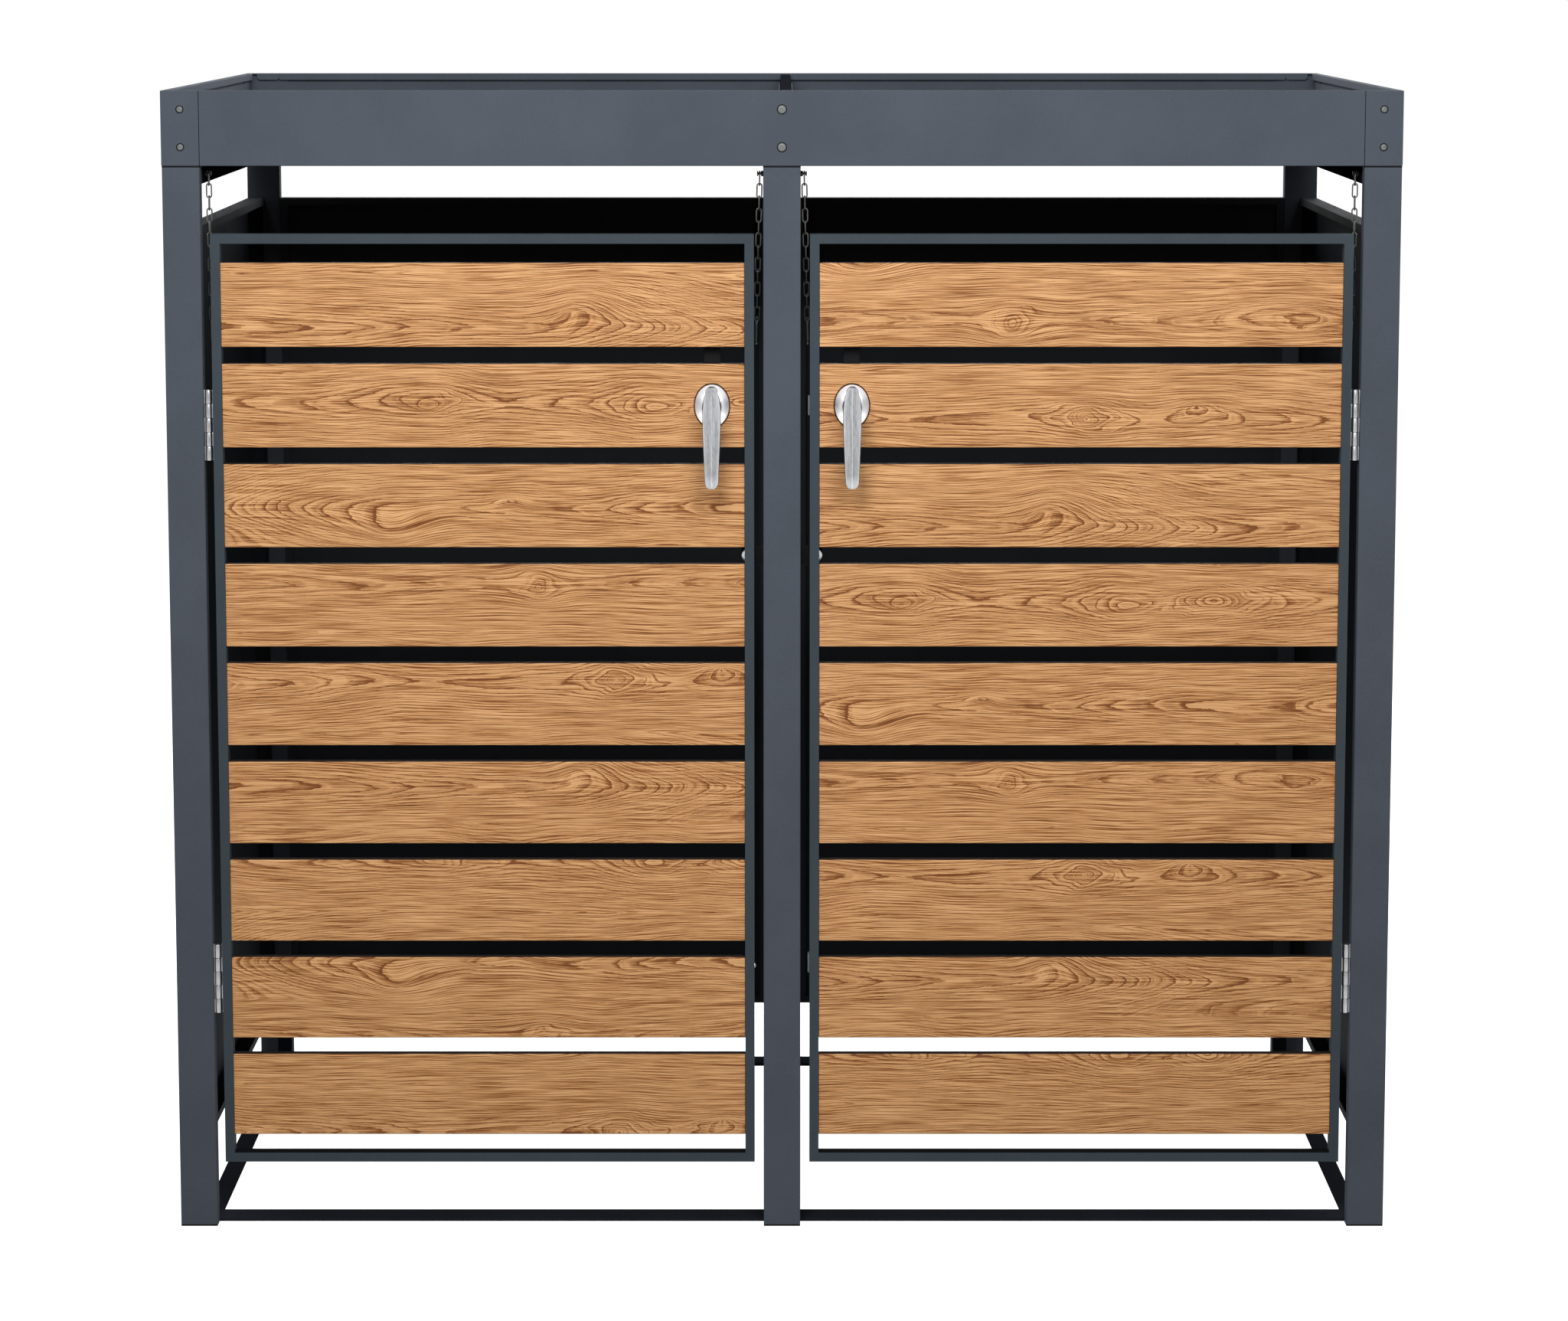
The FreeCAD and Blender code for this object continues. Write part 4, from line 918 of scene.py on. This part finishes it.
class BINSTORE_OT_stops(bpy.types.Operator):
    """Makes the stop strap with its magnets and their painted shade, buffer plates, the edge screw
    and the painted shadows on the sills
    """

    bl_idname = "binstore.stops"
    bl_label = "Door stop"

    def execute(self, context):
        look = context.scene.bin_store_hardware
        steel = brushed("magnet_steel", look.magnet_colour, 0.3, 2000, 0.1)
        buffer = coated("buffer_plastic", look.buffer_colour, 0.0007, 0.5)
        # Black for the strap, and painted shade on the magnets' half cups and in the sills' strips
        black = coated("strap_black", look.latch_colour, 0.0005, 0.5)
        strap = slab(STOP + (-STRAP_HALF_LENGTH, STRAP_FRONT, -STRAP_HALF_HEIGHT),
                     STOP + (STRAP_HALF_LENGTH, STRAP_BACK, STRAP_HALF_HEIGHT), 0.0008, 0)
        make_piece("stop_strap", [skin(strap)], black, "store_frame",
                   ("door_stop",))
        pot = turned([(0.0044, 0.0192), (0.0045, 0.0183), (0.0072, 0.0183), (0.0076, 0.0186),
                      (0.0076, 0.0200), (0.0044, 0.0200)], MAGNET, 1, 48)
        make_piece("stop_magnets", both(pot, True), steel, "store_frame")
        # Painted shade: a thin black half cup over the side of each magnet that faces the post,
        # where the magnet lies in shade
        magnet_shade_cup = turned([(0.0080, 0.0181), (0.0081, 0.0184), (0.0081, 0.0202)], MAGNET, 1, 25,
                     half=True)
        make_piece("magnet_holders", both(magnet_shade_cup), black, "store_frame")
        plates = [slab((DOOR_INNER - 0.002, FRONT + 0.003, z - BUFFER_HALF),
                       (DOOR_INNER, FRONT + 0.015, z + BUFFER_HALF), 0.0004, 2)
                  for z in BUFFER_HEIGHTS]
        make_piece("buffers_right", [skin(plate) for plate in plates], buffer,
                   "door_right", ("buffer_plates_right",))
        dome = [(0.0030, 0.0), (0.0030, 0.0004), (0.0026, 0.0010), (0.0018, 0.0014),
                (0.0006, 0.0016)]
        screw = turned(dome, EDGE_SCREW, 0, 24)
        make_piece("edge_screw_left", [skin(screw)], steel, "door_left")
        # Painted shadow: a thin black strip on the top of each door's bottom bar
        painted_shadow = slab(*SILL_PAINTED_SHADOW, 0.0001, 0)
        for side, sense in SIDES:
            make_piece(f"sill_seal_{side}", [skin(painted_shadow, sense)], black,
                       f"door_{side}")
        return {"FINISHED"}


# ---- Chains


def link_path(length, width, wire, steps=9):
    """The middle line of a long link about the origin, in X and Z: two half circles whose radius
    is half the width less half the wire, joined by straight sides."""
    bend = (width - wire) / 2
    straight = length / 2 - wire / 2 - bend
    half = np.linspace(0, math.pi, steps)
    run = np.linspace(straight, -straight, 5)[1:-1]
    rise = straight + bend * np.sin(half)
    x = np.concatenate([bend * np.cos(half), np.full(3, -bend),
                        -bend * np.cos(half), np.full(3, bend)])
    z = np.concatenate([rise, run, -rise, -run])
    return np.column_stack([x, np.zeros_like(x), z])


def chain_grids(x, lean, wire):
    """Links hung one in the next and turned a quarter each time, then the end ring, all leaning
    from the hook; the whole is turned about the hook and then set in its place."""
    length = LINK_PITCH + 2 * wire + LINK_SPACE
    drop = length / 2 - wire - HOOK_SHANK / 2 - LINK_SPACE
    downs = [-drop - i * LINK_PITCH for i in range(LINKS)]
    downs.append(downs[-1] - length / 2 + wire + LINK_SPACE + RING_WIRE - RING_LENGTH / 2)
    cos, sin = math.cos(math.radians(lean)), math.sin(math.radians(lean))
    turn = np.array([[cos, 0, sin], [0, 1, 0], [-sin, 0, cos]])
    link = closed_wire(link_path(length, LINK_WIDTH, wire), wire / 2, 10)
    ring = closed_wire(link_path(RING_LENGTH, RING_WIDTH, RING_WIRE, 13), RING_WIRE / 2, 12)
    grids = []
    for i, down in enumerate(downs):
        shape = link if i < LINKS else ring
        if i % 2 == 0:
            shape = shape[..., [1, 0, 2]]
        grids.append((shape + np.array([0, 0, down])) @ turn.T + HOOK + (x, 0, 0))
    return grids


class BINSTORE_OT_chains(bpy.types.Operator):
    """Makes the four lid chains of long links and the hooks that they hang on"""

    bl_idname = "binstore.chains"
    bl_label = "Chains"

    def execute(self, context):
        look = context.scene.bin_store_hardware
        # The chains' zinc, partly darkened as painted shade
        zinc = brushed("chain_zinc", look.zinc_colour, 0.38, 1500, 0.12)
        # The hooks' zinc, darkened as painted shade
        dark = brushed("hook_zinc", look.shaded_hook_colour, 0.5, 1500, 0.12, metallic=0.5)
        stud = ((0.0028, 0.0), (0.0030, 0.0003), (0.0030, 0.0024), (0.0013, 0.0027),
                (0.0013, 0.0052), (0.0026, 0.0054), (0.0028, 0.0058), (0.0027, 0.0064),
                (0.0018, 0.0068))
        hooks = []
        for where, x, lean, face, way in CHAINS:
            grids = chain_grids(x, lean, look.wire)
            for side, sense in SIDES:
                links = [skin(grid, sense, True) for grid in grids]
                make_piece(f"links_{side}_{where}", links, zinc,
                           f"chain_{side}_{where}_links", (f"chain_{side}_{where}",), crease=60)
            hooks += both(turned([(r, d * way) for r, d in stud], HOOK + (face, 0, 0), 0, 24))
        make_piece("hook_studs", hooks, dark, "store_frame", ("chain_hooks",))
        return {"FINISHED"}


# ---- Roof screws


class BINSTORE_OT_screws(bpy.types.Operator):
    """Makes the screws of the roof's corners and the bolts of the centre bar, and the painted
    shadows under their heads, on the posts' tops and in the corner joints
    """

    bl_idname = "binstore.screws"
    bl_label = "Roof screws"

    def execute(self, context):
        look = context.scene.bin_store_hardware
        steel = brushed("screw_steel", look.screw_colour, 0.55, 1800, 0.12, metallic=0.35)
        head = [(0.0034, 0.0), (0.0034, 0.0004), (0.0031, 0.0009), (0.0025, 0.0013),
                (0.0017, SCREW_HEIGHT), (0.00125, SCREW_HEIGHT), (0.0010, 0.0008),
                (0.0002, 0.0007)]
        bolt = [(0.0045, 0.0), (0.0045, 0.0005), (0.0041, 0.0010), (0.0033, 0.0014),
                (0.0023, SCREW_HEIGHT), (0.0018, SCREW_HEIGHT), (0.0014, 0.0008), (0.0002, 0.0007)]
        low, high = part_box("roof_screws")
        edge = high[0] - head[0][0]
        screws, bolts, shadow_rings = [], [], []
        for z in ROOF_SCREW_HEIGHTS:
            for way, face in ((-1, low[1] + SCREW_HEIGHT), (1, high[1] - SCREW_HEIGHT)):
                for x, profile, shells in ((-edge, head, screws), (edge, head, screws),
                                           (0.0, bolt, bolts)):
                    # Under every head a thin black ring a little wider than the head: its painted
                    # shadow
                    rim = profile[0][0] + SHADOW_RING_RIM
                    shadow_ring = [(rim, 0.0), (rim, SHADOW_RING_HEIGHT)]
                    for pairs, where in ((profile, shells), (shadow_ring, shadow_rings)):
                        pairs = [(radius, height * way) for radius, height in pairs]
                        where.append(skin(turned(pairs, (x, face, z), 1, 32)))
        make_piece("roof_screw_heads", screws, steel, "store_frame",
                   ("roof_screws",), crease=50)
        make_piece("centre_bar_bolts", bolts, steel, "store_frame", crease=50)
        look = context.scene.bin_store_coatings
        # Black painted shade for the rings under the heads, the caps on the posts and the corner
        # joints
        plastic = coated("cap_plastic", look.painted_shade_colour, PLASTIC_PEBBLE, 0.6, 0.5)
        make_piece("roof_washers", shadow_rings, plastic, "store_frame", crease=50)
        self.shadow_caps_and_shadow_strips(plastic)
        return {"FINISHED"}

    def shadow_caps_and_shadow_strips(self, plastic):
        """Painted shade: thin black caps on the posts that show as the shadow line between each
        post and the roof, and black strips that stand for the shadow in the roof's four corner
        joints."""
        shadow_caps, joints = [], []
        for name in (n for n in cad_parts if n.startswith(("front_post", "rear_post"))):
            low, high = (np.array(corner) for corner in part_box(name))
            # Painted shadow line: a thin black cap over the top of each post, just under the roof
            low[2] = high[2] - SHADOW_CAP_HEIGHT
            over = np.array([SHADOW_CAP_EDGE, SHADOW_CAP_EDGE, 0.0])
            shadow_caps.append(skin(slab(low - over, high + over, 0.0003, 0, 2)))
        make_piece("post_caps", shadow_caps, plastic, "store_frame")
        low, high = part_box("roof_corners")
        seam = high[0] - JOINT_FROM_SIDE
        half = (JOINT_HALF_WIDTH, JOINT_HALF_DEPTH)
        # Painted shadow: a thin black strip in each joint beside the roof's corner pieces, front
        # and back
        for x in (-seam, seam):
            for y in (low[1] + 0.0005, high[1] - 0.0005):
                joint = slab((x - half[0], y - half[1], low[2] + 0.0003),
                             (x + half[0], y + half[1], high[2] - 0.0003), 0.0001, 2)
                joints.append(skin(joint))
        make_piece("joint_sealant", joints, plastic, "store_frame")


# ---- Stage


def seen_directly(tree):
    """The kinds of ray, and 1 for what the camera and reflections see, 0 for all other light."""
    rays = add(tree, "ShaderNodeLightPath").outputs
    return rays, calc(tree, "MAXIMUM", rays["Is Camera Ray"], rays["Is Glossy Ray"])


class BINSTORE_OT_stage(bpy.types.Operator):
    """Sets up the pale floor, the lights and the camera"""

    bl_idname = "binstore.stage"
    bl_label = "Stage"

    def execute(self, context):
        look = context.scene.bin_store_stage
        scene = context.scene
        scene.view_settings.view_transform = "Standard"
        self.floor(look)
        self.world(scene, look)
        for name, power, place, aim, size in LAMPS:
            self.lamp(name, place, aim, size, getattr(look, power))
        camera = bpy.data.cameras.new("camera")
        camera.lens = look.lens
        camera.shift_y = look.rise
        camera.clip_end = VIEW_END
        eye = bpy.data.objects.new("camera", camera)
        scene.collection.objects.link(eye)
        eye.location = (CAMERA_SIDE, FRONT - look.camera_distance, look.camera_height)
        fall = math.atan2(look.camera_height - look.aim_height, look.camera_distance)
        eye.rotation_euler = (math.pi / 2 - fall, 0.0, 0.0)
        scene.camera = eye
        return {"FINISHED"}

    def floor(self, look):
        """A wide plate just under the feet: white to the camera and in reflections, else pale."""
        steps = np.linspace(-FLOOR_HALF, FLOOR_HALF, 5)
        points = np.dstack([*np.meshgrid(steps, steps), np.full((5, 5), -FLOOR_DROP)])
        vertices, faces = skin(points, ring=False)
        mesh = bpy.data.meshes.new("floor")
        mesh.from_pydata(vertices, [], faces)
        material, tree, shader = new_material("floor_paint", 0.9, gloss=0.0)
        cloud = noise(tree, object_place(tree), 1.5, 4.0)
        shade = blend(tree, cloud, tuple(c * 0.98 for c in look.floor_colour), look.floor_colour)
        _, sight = seen_directly(tree)
        feed(shader, {"Base Color": blend(tree, sight, look.bounce, shade),
                      "Emission Color": (1.0, 1.0, 1.0, 1.0), "Emission Strength": sight})
        mesh.materials.append(material)
        piece = bpy.data.objects.new("floor", mesh)
        bpy.context.scene.collection.objects.link(piece)

    def world(self, scene, look):
        """White to the camera, in reflections and through openings, and soft grey to the rest."""
        world = bpy.data.worlds.new("studio")
        scene.world = world
        world.use_nodes = True
        tree = world.node_tree
        rays, sight = seen_directly(tree)
        sight = calc(tree, "MAXIMUM", sight, rays["Is Transmission Ray"])
        plain = calc(tree, "MULTIPLY", sight, 1.0 - look.ambient)
        feed(tree.nodes["Background"], {"Color": (1.0, 1.0, 1.0, 1.0),
                                        "Strength": calc(tree, "ADD", plain, look.ambient)})

    def lamp(self, name, place, aim, size, power):
        """A square soft box aimed at a point."""
        light = bpy.data.lights.new(name, "AREA")
        light.shape = "SQUARE"
        light.size = size
        light.energy = power
        lamp = bpy.data.objects.new(name, light)
        bpy.context.scene.collection.objects.link(lamp)
        away = np.array(place) - np.array(aim)
        flat = math.hypot(away[0], away[1])
        lamp.location = place
        lamp.rotation_euler = (math.atan2(flat, away[2]), 0.0, math.atan2(away[0], -away[1]))


# ---- Panel and registration


class BINSTORE_PT_panel(bpy.types.Panel):
    """Lists the steps that dress the bin store"""

    bl_idname = "BINSTORE_PT_panel"
    bl_label = "Wheelie Bin Store"
    bl_space_type = "VIEW_3D"
    bl_region_type = "UI"
    bl_category = "Bin Store"

    def draw(self, context):
        column = self.layout.column(align=True)
        for step in STEPS:
            column.operator(step.bl_idname)
        for key in VALUES:
            box = self.layout.box()
            group = getattr(context.scene, key)
            for value in group.bl_rna.properties.keys():
                if value not in ("rna_type", "name"):
                    box.prop(group, value)


VALUES = {
    "bin_store_coatings": BinStoreCoatings,
    "bin_store_boards": BinStoreBoards,
    "bin_store_hardware": BinStoreHardware,
    "bin_store_stage": BinStoreStage,
}
STEPS = (BINSTORE_OT_coatings, BINSTORE_OT_boards, BINSTORE_OT_hinges, BINSTORE_OT_handles,
         BINSTORE_OT_stops, BINSTORE_OT_chains, BINSTORE_OT_screws, BINSTORE_OT_stage)


def register():
    for kind in (*VALUES.values(), *STEPS, BINSTORE_PT_panel):
        bpy.utils.register_class(kind)
    for key, kind in VALUES.items():
        setattr(bpy.types.Scene, key, PointerProperty(type=kind))


def unregister():
    for key in VALUES:
        delattr(bpy.types.Scene, key)
    for kind in reversed((*VALUES.values(), *STEPS, BINSTORE_PT_panel)):
        bpy.utils.unregister_class(kind)


def main():
    """Registers the classes and runs every step in order."""
    register()
    bpy.ops.binstore.coatings()
    bpy.ops.binstore.boards()
    bpy.ops.binstore.hinges()
    bpy.ops.binstore.handles()
    bpy.ops.binstore.stops()
    bpy.ops.binstore.chains()
    bpy.ops.binstore.screws()
    bpy.ops.binstore.stage()


if __name__ == "__main__":
    main()
